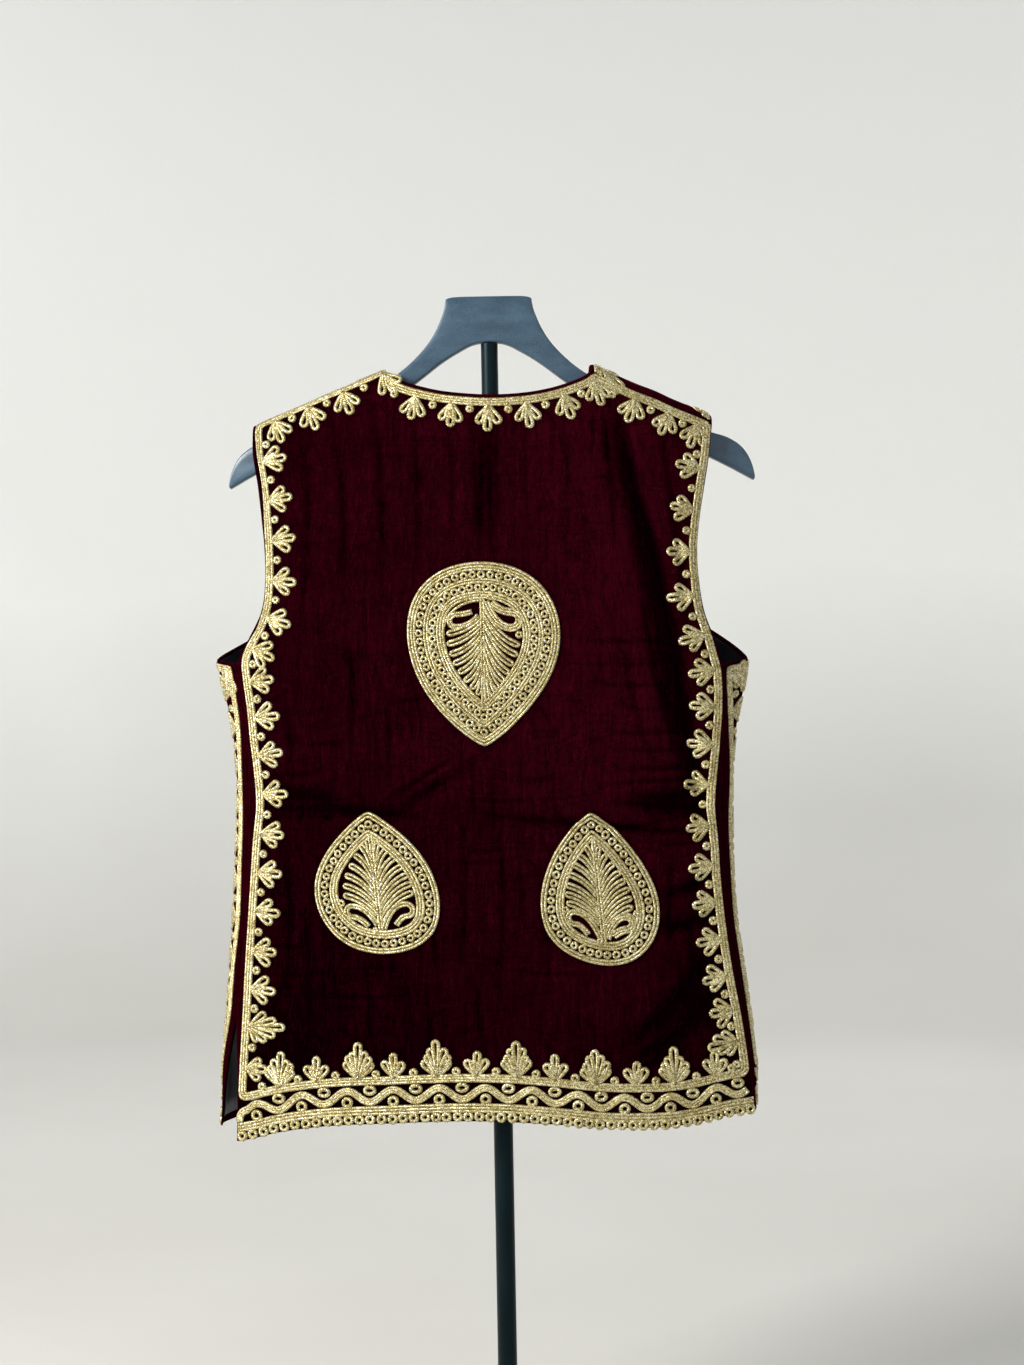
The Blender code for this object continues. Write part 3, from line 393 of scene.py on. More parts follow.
# Outer edge of the gold border on the back, and where the side seam lies, height by height
BACK_LEFT = table(
    "z gold seam seam_depth",
    (330, -220.5, -221.5, -11), (348, -219.8, -221.5, -10), (389, -217.6, -221.5, -6),
    (430, -215.0, -222.0, -2), (470, -212.6, -218.5, 0), (511, -209.4, -214.0, 0),
    (552, -206.2, -211.6, 0), (579, -204.0, -210.0, 0), (607, -201.0, -208.8, 0),
    (634, -202.2, -208.9, 0), (661, -205.0, -210.5, 0), (689, -207.1, -212.2, 0),
    (716, -210.2, -215.6, 0), (725, -210.8, -216.6, 1), (734, -208.8, -211.0, -11),
    (744, -203.4, -204.8, -13), (755, -196.7, -198.0, -14), (769, -191.5, -192.7, -12),
    (795, -188.4, -189.6, -9), (822, -188.8, -190.0, -5), (849, -190.8, -192.0, 0),
    (876, -193.6, -194.8, 5), (903, -198.0, -199.2, 10), (930, -198.8, -200.0, 14),
)
BACK_RIGHT = table(
    "z gold seam seam_depth",
    (338, 210.8, 212.5, -10), (354, 207.5, 211.0, -9), (381, 204.8, 208.0, -5),
    (422, 199.7, 203.5, -1), (463, 192.9, 197.6, 0), (504, 187.7, 192.4, 0),
    (545, 184.3, 189.8, 0), (572, 183.1, 188.6, 0), (599, 181.1, 188.2, 0),
    (626, 183.2, 190.0, 0), (654, 186.2, 190.8, 0), (681, 188.4, 191.2, 0),
    (709, 188.2, 190.4, 0), (716.5, 187.4, 190.2, 1), (726, 184.8, 186.6, -11),
    (740, 180.6, 181.8, -13), (762, 173.0, 174.2, -12), (789, 169.6, 170.8, -9),
    (816, 168.9, 170.1, -5), (842, 171.9, 173.1, 0), (869, 176.6, 177.8, 5),
    (896, 181.6, 182.8, 10), (922, 184.6, 185.8, 13),
)
# Depth of the back at its gold edge, and how far its middle stands out behind that
BACK_DEPTH = table(
    "z edge_depth bulge",
    (330, -25, 20), (389, -21, 22), (430, -17, 23), (540, -13, 24), (640, -12, 24), (735, -14, 25),
    (800, -11, 25), (870, -6, 21), (975, -4, 16),
)
# Sections through each front from its side seam to its widest point, height by height
FRONT_SIDE = {
    "left": table(
        "z seam seam_depth gold gold_depth widest widest_depth",
        (330, -240.5, 20, -241.0, 33, -235.0, 46), (389, -231.0, 8, -236.5, 20, -238.0, 34),
        (430, -222.2, 0, -228.3, 12, -234.1, 27), (470, -218.5, 0, -224.2, 12, -230.8, 27),
        (511, -214.0, 0, -218.9, 12, -227.5, 27), (552, -211.6, 0, -217.0, 12, -225.0, 27),
        (593, -209.2, 0, -215.2, 12, -222.6, 26), (634, -208.9, 0, -215.3, 12, -221.9, 26),
        (675, -211.3, 0, -216.0, 12, -226.2, 28), (716, -215.3, 0, -220.6, 11, -234.9, 27),
        (731, -216.8, 1, -222.5, 11, -238.0, 27),
    ),
    "right": table(
        "z seam seam_depth gold gold_depth widest widest_depth",
        (330, 215.0, 8, 216.0, 21, 213.5, 35), (381, 208.7, 1, 213.0, 14, 216.5, 28),
        (422, 203.6, 0, 208.0, 12, 212.0, 26), (463, 197.6, 0, 202.7, 12, 206.8, 26),
        (504, 192.4, 0, 197.5, 12, 201.6, 26), (545, 189.8, 0, 195.5, 12, 199.5, 26),
        (586, 188.4, 0, 194.6, 12, 199.5, 26), (627, 190.0, 0, 196.6, 12, 200.4, 26),
        (668, 191.0, 0, 195.6, 12, 205.2, 27), (709, 190.4, 0, 194.5, 12, 214.0, 28),
        (721, 190.0, 1, 194.5, 12, 216.0, 29),
    ),
}
# Depth of the fronts at their front edges, and of the chest at the outer end of the shoulders
FRONT_DEPTH = table(
    "z centre_depth outer_depth centre_x",
    (330, 70, 46, -11), (430, 67, 44, -9), (540, 63, 42, -7), (640, 61, 42, -5), (735, 64, 44, -4),
    (800, 60, 43, -3), (860, 50, 41, -2), (920, 30, 39, -1), (975, 12, 37, 0),
)
FRONT_GAP = 1.2
# Rows of each front, top to hem bands: distance from the front edge's line, and height, at both ends.
# end is ARMHOLE where the row starts on the armhole, CORNER above the corner of the gold border, and
# SEAM_TOP or SEAM where it starts on the side seam, whose side_p is worked out from the section.
ARMHOLE, CORNER, SEAM_TOP, SEAM = range(4)
FRONT_ROWS = {
    "left": table(
        "row end side_p side_z edge_p edge_z",
        (0, ARMHOLE, 199, 0, 87, 0), (1, ARMHOLE, 192, 900, 84.5, 938), (2, ARMHOLE, 180, 872, 77, 910),
        (3, ARMHOLE, 170, 840, 62, 886), (4, ARMHOLE, 167, 808, 40, 869), (5, ARMHOLE, 173, 780, 14, 860.5),
        (6, ARMHOLE, 189, 758, FRONT_GAP, 846), (7, ARMHOLE, 208, 746, FRONT_GAP, 824),
        (8, ARMHOLE, 231, 735, FRONT_GAP, 800), (9, ARMHOLE, 250, 727.6, FRONT_GAP, 778),
        (10, CORNER, 0, 725.2, FRONT_GAP, 756), (11, SEAM_TOP, 0, 724.5, FRONT_GAP, 735),
        (12, SEAM, 0, 691, FRONT_GAP, 708), (13, SEAM, 0, 666, FRONT_GAP, 676),
        (14, SEAM, 0, 635, FRONT_GAP, 643), (15, SEAM, 0, 602, FRONT_GAP, 609),
        (16, SEAM, 0, 569, FRONT_GAP, 574), (17, SEAM, 0, 536, FRONT_GAP, 540),
        (18, SEAM, 0, 503, FRONT_GAP, 507), (19, SEAM, 0, 470, FRONT_GAP, 474),
        (20, SEAM, 0, 437, FRONT_GAP, 441), (21, SEAM, 0, 404, FRONT_GAP, 409),
    ),
    "right": table(
        "row end side_p side_z edge_p edge_z",
        (0, ARMHOLE, 187, 0, 87, 0), (1, ARMHOLE, 180, 894, 84.5, 938), (2, ARMHOLE, 168, 866, 77, 910),
        (3, ARMHOLE, 159, 834, 62, 886), (4, ARMHOLE, 157, 802, 40, 869), (5, ARMHOLE, 163, 775, 14, 860.5),
        (6, ARMHOLE, 178, 757, FRONT_GAP, 846), (7, ARMHOLE, 195, 745, FRONT_GAP, 824),
        (8, ARMHOLE, 216, 732, FRONT_GAP, 800), (9, ARMHOLE, 236, 721.4, FRONT_GAP, 778),
        (10, CORNER, 0, 717.4, FRONT_GAP, 756), (11, SEAM_TOP, 0, 716.5, FRONT_GAP, 735),
        (12, SEAM, 0, 681, FRONT_GAP, 708), (13, SEAM, 0, 660, FRONT_GAP, 676),
        (14, SEAM, 0, 630, FRONT_GAP, 643), (15, SEAM, 0, 599, FRONT_GAP, 609),
        (16, SEAM, 0, 567, FRONT_GAP, 574), (17, SEAM, 0, 535, FRONT_GAP, 540),
        (18, SEAM, 0, 503, FRONT_GAP, 507), (19, SEAM, 0, 471, FRONT_GAP, 474),
        (20, SEAM, 0, 440, FRONT_GAP, 441), (21, SEAM, 0, 410, FRONT_GAP, 409),
    ),
}
FRONT_HEM = table("x z", (-241, 333), (-200, 336), (-120, 341), (-11, 343), (120, 342), (216, 345))
# Largest folds: each is a soft trough along a bent line of three points (x, z), pushed inwards.
# A trough with a negative lean is steep on its right side and slopes gently on its left.
BACK_FOLDS = table(
    "x1 z1 x2 z2 x3 z3 half_width depth lean",
    (106, 936, 113, 895, 121, 850, 7, 5.0, -0.5),
    (118, 872, 135, 814, 144, 760, 8.5, 7.8, -0.55),
    (135, 806, 151, 726, 159, 672, 9.5, 8.0, -0.55),
    (151, 712, 163, 650, 171, 596, 8, 6.2, -0.5),
    (178, 619, 150, 606, 112, 610, 5.5, 5.6, 0.3),
    (178, 600, 146, 595, 118, 600, 4.5, 4.4, 0.3),
    (174, 578, 110, 582, -6, 597, 4.0, 3.6, 0),
    (176, 542, 156, 532, 138, 529, 5.0, 4.4, 0.3),
    (178, 512, 158, 500, 134, 503, 5.0, 4.2, 0.3),
    (172, 486, 148, 436, 104, 408, 8, 5.0, 0.35),
    (178, 455, 152, 412, 112, 390, 7, 4.0, 0.35),
    (-196, 604, -130, 607, -62, 596, 4.5, 3.6, 0),
    (-196, 622, -170, 616, -130, 618, 5.0, 2.8, 0),
    (-84, 600, -52, 622, -20, 640, 5.0, 2.6, 0),
    (-2, 935, -4, 880, -3, 822, 12, 2.0, 0),
)
FRONT_FOLDS = table(
    "x1 z1 x2 z2 x3 z3 half_width depth lean",
    (-176, 760, -140, 700, -128, 620, 15, 5.0, 0.3),
    (-190, 610, -130, 598, -60, 604, 11, 3.5, 0),
    (-150, 480, -128, 420, -120, 350, 16, 5.0, 0),
    (162, 748, 132, 690, 122, 610, 15, 5.5, -0.3),
    (172, 600, 120, 586, 60, 596, 11, 3.5, 0),
    (140, 500, 118, 430, 112, 350, 16, 5.0, 0),
)
print("main folds:", len(BACK_FOLDS["x1"]), "on the back and", len(FRONT_FOLDS["x1"]), "on the fronts")

# %% [markdown]
# ## Folds
#
# Hung cloth folds along soft lines that start where it is held: at the neck, at the armholes and at the
# waist.  Each fold is listed as a trough along a bent line of three points.  A narrow fold also
# pushes up a ridge on both sides, because the cloth that sinks has to come from somewhere.


# %% Folds pressed into the cloth
FOLD_REACH = 2.6


def bent(start, bend, end, count):
    """Points on a bent line that is drawn by three places."""
    t = np.linspace(0, 1, count)[:, None]
    return (1 - t) ** 2 * np.array(start) + 2 * t * (1 - t) * np.array(bend) + t * t * np.array(end)


def fold_depth(folds, x, z, ridge_share=0.0):
    """Depth of all the soft troughs at (x, z); ridge_share raises the cloth beside each of them."""
    x, z = np.broadcast_arrays(np.asarray(x, dtype=float), np.asarray(z, dtype=float))
    total = np.zeros(x.shape)
    t = np.linspace(0, 1, 25)
    for k in range(len(folds["x1"])):
        one = {name: column[k] for name, column in folds.items()}
        path_x, path_z = bent(*((one["x" + end], one["z" + end]) for end in "123"), len(t)).T
        lean = one.get("lean", 0.0)
        reach = FOLD_REACH * one["half_width"] * (1 + abs(lean))
        near = (x > path_x.min() - reach) & (x < path_x.max() + reach)
        near &= (z > path_z.min() - reach) & (z < path_z.max() + reach)
        if not near.any():
            continue
        # distance to each short straight of the bent line, and the place along it
        nearest = np.full(near.sum(), 1e9)
        place, aside = np.zeros(near.sum()), np.zeros(near.sum())
        for step in range(len(t) - 1):
            run_x, run_z = path_x[step + 1] - path_x[step], path_z[step + 1] - path_z[step]
            from_x, from_z = x[near] - path_x[step], z[near] - path_z[step]
            share = np.clip((from_x * run_x + from_z * run_z) / (run_x ** 2 + run_z ** 2), 0, 1)
            off_x, off_z = from_x - share * run_x, from_z - share * run_z
            away = np.hypot(off_x, off_z)
            closer = away < nearest
            nearest[closer] = away[closer]
            aside[closer] = (0.8 * off_x - 0.6 * off_z)[closer]
            place[closer] = t[step] + share[closer] * (t[step + 1] - t[step])
        fade = 0.25 + 0.75 * np.sin(math.pi * place)
        width = one["half_width"] * (1 + lean * aside / np.maximum(nearest, 1e-6))
        ratio = (nearest / width) ** 2
        total[near] += one["depth"] * fade * (np.exp(-ratio) - ridge_share * ratio * np.exp(-ratio * 0.8))
    return total


# %% [markdown]
# ## Small creases
#
# Between the main folds the velvet is wrinkled: fine upright creases from the shoulders, a press mark
# down the middle, sideways wrinkles at the waist and slanting ones near the right vent.  They differ in
# length, depth and spacing, so they are listed one by one.

# %% Small creases, one by one
BACK_CREASES = table(
    "x1 z1 x2 z2 x3 z3 half_width depth",
    (-7, 905, -12, 850, -9, 812, 3.2, 1.5), (2, 930, 6, 880, 3, 838, 3.0, 0.9),
    (-36, 925, -30, 870, -34, 822, 3.4, 0.9), (30, 922, 26, 880, 31, 830, 3.2, 0.8),
    (-66, 932, -60, 880, -62, 800, 4.2, 1.2), (-98, 935, -88, 870, -92, 790, 4.4, 1.3),
    (-132, 925, -120, 860, -124, 770, 4.6, 1.4), (-158, 905, -150, 840, -160, 760, 4.4, 1.2),
    (60, 930, 66, 880, 60, 820, 3.6, 1.0), (88, 940, 104, 890, 100, 820, 4.2, 1.6),
    (112, 935, 124, 880, 118, 800, 3.6, 1.3), (140, 925, 152, 880, 150, 830, 4.0, 1.4),
    (150, 860, 160, 800, 158, 740, 4.4, 1.7), (124, 770, 130, 720, 148, 650, 4.2, 1.9),
    (104, 745, 110, 700, 128, 640, 3.6, 1.3), (140, 700, 152, 660, 168, 640, 3.4, 1.5),
    (176, 636, 150, 630, 100, 634, 3.2, 1.6), (178, 622, 140, 624, 84, 620, 3.0, 1.5),
    (176, 604, 138, 598, 96, 606, 3.2, 1.7), (170, 592, 130, 590, 104, 582, 2.8, 1.2),
    (178, 574, 150, 566, 128, 572, 3.0, 1.1), (60, 628, 30, 622, -10, 628, 2.8, 0.9),
    (44, 610, 10, 606, -30, 610, 2.6, 0.8), (-196, 634, -168, 630, -140, 636, 2.6, 1.2),
    (-198, 612, -160, 616, -118, 610, 2.8, 1.3), (-192, 596, -158, 600, -128, 594, 2.4, 1.0),
    (-80, 640, -70, 632, -50, 634, 2.4, 0.8), (-176, 700, -168, 660, -172, 618, 3.6, 1.2),
    (-120, 742, -116, 690, -122, 640, 3.8, 1.1), (-90, 690, -84, 660, -92, 624, 3.2, 0.8),
    (-176, 580, -170, 520, -178, 450, 3.8, 1.1), (-158, 540, -162, 480, -156, 420, 3.6, 0.9),
    (-30, 600, -26, 540, -32, 470, 3.4, 1.0), (0, 590, 6, 530, 0, 450, 3.8, 1.1),
    (20, 600, 16, 560, 22, 500, 3.2, 0.8), (-16, 470, -22, 430, -14, 396, 3.4, 0.8),
    (146, 560, 138, 520, 142, 470, 3.8, 1.5), (162, 540, 156, 490, 160, 440, 3.6, 1.2),
    (170, 430, 140, 410, 104, 392, 4.0, 2.0), (176, 452, 150, 446, 122, 424, 3.4, 1.6),
    (150, 400, 124, 386, 92, 384, 3.2, 1.2), (-110, 470, -104, 440, -112, 400, 3.4, 0.7),
    (-60, 470, -56, 430, -62, 396, 3.4, 0.7), (64, 462, 60, 430, 66, 396, 3.2, 0.8),
    (-196, 372, -210, 362, -214, 340, 3.4, 0.9), (-120, 372, -118, 356, -122, 346, 3.6, 0.7),
    (-40, 376, -44, 360, -40, 348, 4.0, 0.8), (56, 372, 60, 356, 54, 342, 4.0, 0.8),
    (128, 374, 132, 356, 128, 340, 4.0, 0.9), (176, 380, 184, 362, 180, 346, 3.4, 1.0),
    (-15, 922, -14, 880, -14, 826, 2.2, 1.2), (-1, 915, -2, 870, -1, 812, 2.2, 1.2),
    (-20, 648, -19, 610, -20, 568, 2.2, 1.2), (-3, 640, -3, 605, -4, 568, 2.2, 1.2),
    (-22, 568, -10, 567, 2, 569, 2.2, 1.2), (-40, 560, -20, 556, 6, 560, 2.4, 0.8),
    (148, 740, 110, 736, 66, 741, 2.6, 1.1), (150, 722, 116, 717, 84, 722, 2.4, 1.0),
    (152, 702, 120, 700, 72, 706, 2.6, 1.2), (154, 684, 124, 680, 98, 686, 2.4, 1.0),
    (156, 664, 120, 660, 80, 665, 2.6, 1.2), (158, 648, 130, 645, 104, 650, 2.4, 1.1),
    (-84, 612, -54, 634, -24, 652, 2.8, 1.3), (-98, 606, -74, 624, -44, 640, 2.6, 1.1),
    (-124, 742, -118, 730, -116, 704, 3.0, 1.4), (-112, 744, -110, 728, -114, 712, 2.8, 1.1),
    (84, 934, 88, 916, 84, 896, 3.0, 1.6), (96, 930, 98, 914, 96, 892, 3.0, 1.6),
    (-40, 700, -60, 690, -96, 694, 2.6, 0.9), (-176, 660, -150, 655, -120, 660, 2.6, 1.0),
    (40, 520, 36, 480, 42, 440, 3.0, 1.0), (-50, 540, -56, 500, -50, 450, 3.0, 1.0),
    (-190, 520, -180, 516, -164, 520, 2.6, 1.0), (-190, 492, -178, 488, -160, 492, 2.6, 1.0),
    (10, 470, 40, 462, 70, 466, 2.6, 0.9), (-150, 452, -110, 446, -70, 450, 2.6, 0.9),
)
FRONT_CREASES = table(
    "x1 z1 x2 z2 x3 z3 half_width depth",
    (-150, 900, -140, 840, -146, 770, 4.0, 1.2), (-120, 910, -108, 850, -110, 780, 4.2, 1.1),
    (-96, 890, -86, 840, -92, 760, 3.6, 0.9), (-180, 720, -170, 670, -176, 618, 3.8, 1.2),
    (-100, 740, -94, 690, -100, 620, 3.6, 1.0), (-60, 760, -52, 700, -58, 640, 3.8, 1.0),
    (-200, 618, -150, 624, -90, 616, 3.0, 1.3), (-196, 596, -140, 590, -70, 598, 2.8, 1.2),
    (-170, 570, -130, 574, -40, 570, 2.8, 0.9), (-190, 540, -180, 480, -186, 410, 4.0, 1.2),
    (-90, 560, -84, 490, -92, 410, 4.0, 1.1), (-44, 560, -38, 480, -44, 400, 3.6, 0.9),
    (-128, 400, -122, 372, -126, 345, 4.0, 0.9), (-70, 390, -74, 368, -70, 345, 4.0, 0.8),
    (138, 896, 128, 840, 132, 770, 4.2, 1.3), (112, 912, 104, 860, 108, 790, 3.8, 1.0),
    (84, 880, 78, 830, 84, 760, 3.6, 0.9), (170, 712, 160, 660, 166, 612, 3.8, 1.2),
    (92, 740, 88, 690, 94, 620, 3.6, 1.0), (52, 760, 46, 700, 50, 640, 3.6, 0.9),
    (184, 612, 130, 618, 80, 608, 3.0, 1.3), (178, 588, 130, 582, 60, 590, 2.8, 1.1),
    (156, 562, 110, 566, 40, 560, 2.8, 0.9), (172, 530, 164, 480, 170, 410, 4.0, 1.2),
    (84, 550, 80, 490, 86, 410, 4.0, 1.0), (40, 560, 34, 480, 38, 400, 3.6, 0.9),
    (122, 400, 116, 372, 120, 345, 4.0, 0.9), (64, 390, 68, 368, 64, 345, 4.0, 0.8),
)
RIDGE_SHARE = 0.55
print("small creases:", len(BACK_CREASES["x1"]), "on the back and", len(FRONT_CREASES["x1"]), "on the fronts")

# %% [markdown]
# ## Maps of the three pieces of cloth
#
# Embroidery is drawn flat and then follows the cloth.  So each piece of cloth gets a map: a fine lattice
# that tells, for a place (u, h) in millimetres, the point in space and the direction out of the cloth.
# On the back u is simply X.  On a front u runs along the cloth from the front edge round to the side
# seam.  h is the height, and goes on past the top of the shoulder as if the cloth were pulled up
# straight, so the same map also covers the bend over the head's arm.

# %% Sizes that the maps use
HEAD_HALF_WIDTH = 225.0
HEAD_SWEEP = 31.0
SHOULDER_RADIUS = 11.5
SHOULDER_FALL = 150.0
SEAM_GAP = 0.8
SIDE_STRIP = 13.5
EDGE_MARGIN = 1.2
SEAM_PAST_RIDGE = {"left": 0.3, "right": -13.4}
SIDES = {"left": -1.0, "right": 1.0}
# how much longer the way round a quarter bend is than the bend's radius
FLAT_BEND = SHOULDER_RADIUS * (math.pi / 2 - 1)
LATTICE_STEP = 1.6
MAP_BOTTOM = 318.0
MAP_TOP = 1012.0
# the plain strip lies level where the cloth nears the arm, from this height over this distance
LEVEL_FROM = 905
LEVEL_OVER = 40
# upper corners of the back, across
BACK_TOP_LEFT = -198.0
BACK_TOP_RIGHT = 184.0


def sweep(x):
    """How far forward the head's arms have curved at x."""
    return HEAD_SWEEP * (np.abs(x) / HEAD_HALF_WIDTH) ** 1.7


def over_shoulder(x, h):
    """Height z, distance in front of or behind the arm's line, and how freely the cloth hangs there."""
    ridge = read(RIDGE, "z", x)
    run = ridge + FLAT_BEND - h
    bend = np.clip(run / SHOULDER_RADIUS, -math.pi / 2, math.pi / 2)
    drop = SHOULDER_RADIUS * (1 - np.cos(bend))
    drop = drop + np.maximum(np.abs(run) - SHOULDER_RADIUS * math.pi / 2, 0)
    share = np.where(run > 0, ease(drop / SHOULDER_FALL), 0.0)
    return ridge - drop, SHOULDER_RADIUS * np.sin(bend), share


def height_on_map(x, run):
    """Map height of the place that lies run from the ridge, down over the arm."""
    return read(RIDGE, "z", x) + FLAT_BEND - run


# %% Surface of the back
def back_surface(u, h):
    """Points of the back's middle surface for arrays of map places."""
    x = u
    for _ in range(3):
        z, reach, share = over_shoulder(x, h)
        left, right = read(BACK_LEFT, "gold", z), read(BACK_RIGHT, "gold", z)
        x = np.clip(u, left, right)
    across = np.abs(2 * (x - left) / (right - left) - 1)
    hanging = read(BACK_DEPTH, "edge_depth", z)
    hanging = hanging - read(BACK_DEPTH, "bulge", z) * (1 - np.clip(across, 0, 1) ** 2.4)
    y = (sweep(x) - reach) * (1 - share) + hanging * share + fold_depth(BACK_FOLDS, x, z)
    y = y + fold_depth(BACK_CREASES, x, z, RIDGE_SHARE)
    # the plain strip from the gold edge round to the side seam
    beyond = u - x
    seam_side = [np.where(u < 0, read(BACK_LEFT, name, z), read(BACK_RIGHT, name, z))
                 for name in ("gold", "seam", "seam_depth")]
    level = ease((z - LEVEL_FROM) / LEVEL_OVER)
    gold_y = read(BACK_DEPTH, "edge_depth", z) * share + (sweep(x) - reach) * (1 - share)
    run_x = seam_side[1] - seam_side[0]
    run_y = (seam_side[2] - gold_y) * (1 - level)
    length = np.hypot(run_x, run_y)
    x = x + np.abs(beyond) * run_x / length
    y = y + np.abs(beyond) * run_y / length
    return np.stack([x, y, z], axis=-1)


def strip_length(side, z):
    """Width of the back's plain strip between its gold edge and the side seam."""
    rows = BACK_LEFT if side == "left" else BACK_RIGHT
    gold = read(rows, "gold", z)
    z_bend, reach, share = over_shoulder(gold, z)
    gold_y = read(BACK_DEPTH, "edge_depth", z_bend) * share + (sweep(gold) - reach) * (1 - share)
    level = ease((z - LEVEL_FROM) / LEVEL_OVER)
    return np.hypot(read(rows, "seam", z) - gold, (read(rows, "seam_depth", z) - gold_y) * (1 - level))


# %% Surface of a front
def section(side, z):
    """Outline of one front's level section, from the front edge's line round to the side seam."""
    rows = FRONT_SIDE[side]
    seam = (read(rows, "seam", z), read(rows, "seam_depth", z))
    gold = (read(rows, "gold", z), read(rows, "gold_depth", z))
    widest = (read(rows, "widest", z), read(rows, "widest_depth", z))
    centre = (read(FRONT_DEPTH, "centre_x", z), read(FRONT_DEPTH, "centre_depth", z))
    turn = (widest[0] * 0.955, widest[1] + 17)
    corners = [centre]
    for share, rise in ((0.33, 0.98), (0.66, 0.78)):
        x = centre[0] + share * (widest[0] - centre[0])
        corners.append((x, turn[1] + rise * (centre[1] - turn[1])))
    corners = np.array(corners + [turn, widest, gold, seam], dtype=float)
    knots = np.concatenate(([0], np.cumsum(np.hypot(*np.diff(corners, axis=0).T))))
    curve = {"run": knots, "x": corners[:, 0], "y": corners[:, 1]}
    run = np.linspace(0, knots[-1], 120)
    outline = np.stack([read(curve, "x", run), read(curve, "y", run)], axis=1)
    length = np.concatenate(([0], np.cumsum(np.hypot(*np.diff(outline, axis=0).T))))
    return length, outline


SECTION_STEP = 3.0
SECTION_HEIGHTS = np.arange(MAP_BOTTOM, 1020.0, SECTION_STEP)
RUN_STEP = 2.0
SECTION_RUNS = np.arange(-12.0, 324.0, RUN_STEP)
# above the armhole's lowest point a front passes from its sections to the sheet over the shoulder
ARMHOLE_LOW = 722
ARMHOLE_BLEND = 75
SECTIONS = {}
SECTION_LENGTHS = {}
for side in SIDES:
    laid = []
    lengths = []
    for z in SECTION_HEIGHTS:
        length, outline = section(side, z)
        inside = np.clip(SECTION_RUNS, 0, length[-1])
        points = np.stack([np.interp(inside, length, outline[:, k]) for k in (0, 1)], axis=1)
        ends = [outline[1] - outline[0], outline[-1] - outline[-2]]
        ends = [end / np.hypot(*end) for end in ends]
        points += np.minimum(SECTION_RUNS, 0)[:, None] * ends[0]
        points += np.maximum(SECTION_RUNS - length[-1], 0)[:, None] * ends[1]
        laid.append(points)
        lengths.append(length[-1])
    SECTIONS[side] = np.array(laid)
    SECTION_LENGTHS[side] = np.array(lengths)


def bilinear(grid, row, column):
    """Values of a grid between its rows and columns."""
    row = np.clip(row, 0, grid.shape[0] - 1.001)
    column = np.clip(column, 0, grid.shape[1] - 1.001)
    r, c = row.astype(int), column.astype(int)
    down, along = (row - r)[..., None], (column - c)[..., None]
    upper = grid[r, c] * (1 - along) + grid[r, c + 1] * along
    lower = grid[r + 1, c] * (1 - along) + grid[r + 1, c + 1] * along
    return upper * (1 - down) + lower * down


def side_length(side, z):
    """Distance along the section from the front edge's line to the front's cut edge at the side seam."""
    return np.interp(z, SECTION_HEIGHTS, SECTION_LENGTHS[side]) - SEAM_GAP


def front_surface(side, p, h):
    """Points of a front's middle surface for arrays of map places."""
    sign = SIDES[side]
    x = read(FRONT_DEPTH, "centre_x", h) + sign * p
    z, reach, share = over_shoulder(x, h)
    middle, outer = read(FRONT_DEPTH, "centre_depth", z), read(FRONT_DEPTH, "outer_depth", z)
    chest = middle + (outer - middle) * (np.maximum(p, 0) / 200.0) ** 1.6
    upper_y = (sweep(x) + reach) * (1 - share) + chest * share
    hanging = bilinear(SECTIONS[side], (z - SECTION_HEIGHTS[0]) / SECTION_STEP,
                       (p - SECTION_RUNS[0]) / RUN_STEP)
    above = ease((z - ARMHOLE_LOW) / ARMHOLE_BLEND)
    x = hanging[..., 0] * (1 - above) + x * above
    y = hanging[..., 1] * (1 - above) + upper_y * above
    y = y - fold_depth(FRONT_FOLDS, x, z) - fold_depth(FRONT_CREASES, x, z, RIDGE_SHARE)
    return np.stack([x, y, z], axis=-1)


# %% The maps themselves
def evened(path, closed, passes):
    """The path with its points drawn towards their neighbours; the ends of an open path stay."""
    for _ in range(passes):
        middle = 0.25 * np.roll(path, 1, 0) + 0.5 * path + 0.25 * np.roll(path, -1, 0)
        path = middle if closed else np.concatenate([path[:1], middle[1:-1], path[-1:]])
    return path


def softened(points):
    """The lattice with each point drawn a little towards its neighbours."""
    for axis in (0, 1):
        points = np.moveaxis(evened(np.moveaxis(points, axis, 0), False, 1), 0, axis)
    return points


def make_map(surface, across, outwards):
    """A lattice of points and outward normals over the given range of u."""
    u = np.arange(across[0], across[1] + LATTICE_STEP, LATTICE_STEP)
    h = np.arange(MAP_BOTTOM, MAP_TOP, LATTICE_STEP)
    grid_u, grid_h = np.meshgrid(u, h)
    points = softened(surface(grid_u, grid_h))
    normals = np.cross(np.gradient(points, axis=1), np.gradient(points, axis=0))
    normals /= np.linalg.norm(normals, axis=2, keepdims=True)
    if np.dot(normals[len(h) // 3, len(u) // 2], outwards) < 0:
        normals = -normals
    return {"u": u, "h": h, "points": points, "normals": normals}


def place(cloth, u, h, lift=0.0):
    """Points at (u, h), raised by lift along the cloth's normal, and the normals."""
    column = (np.asarray(u, dtype=float) - cloth["u"][0]) / LATTICE_STEP
    row = (np.asarray(h, dtype=float) - cloth["h"][0]) / LATTICE_STEP
    normals = bilinear(cloth["normals"], row, column)
    normals /= np.linalg.norm(normals, axis=-1, keepdims=True)
    return bilinear(cloth["points"], row, column) + normals * np.asarray(lift)[..., None], normals


CLOTH = {
    "back": make_map(back_surface, (-262.0, 250.0), (0, -1, 0)),
    "front_left": make_map(lambda p, h: front_surface("left", p, h), (-10.0, 312.0), (-0.2, 1, 0)),
    "front_right": make_map(lambda p, h: front_surface("right", p, h), (-10.0, 300.0), (0.2, 1, 0)),
}
for name, cloth in CLOTH.items():
    print(name, "map:", cloth["points"].shape[:2], "lattice points")

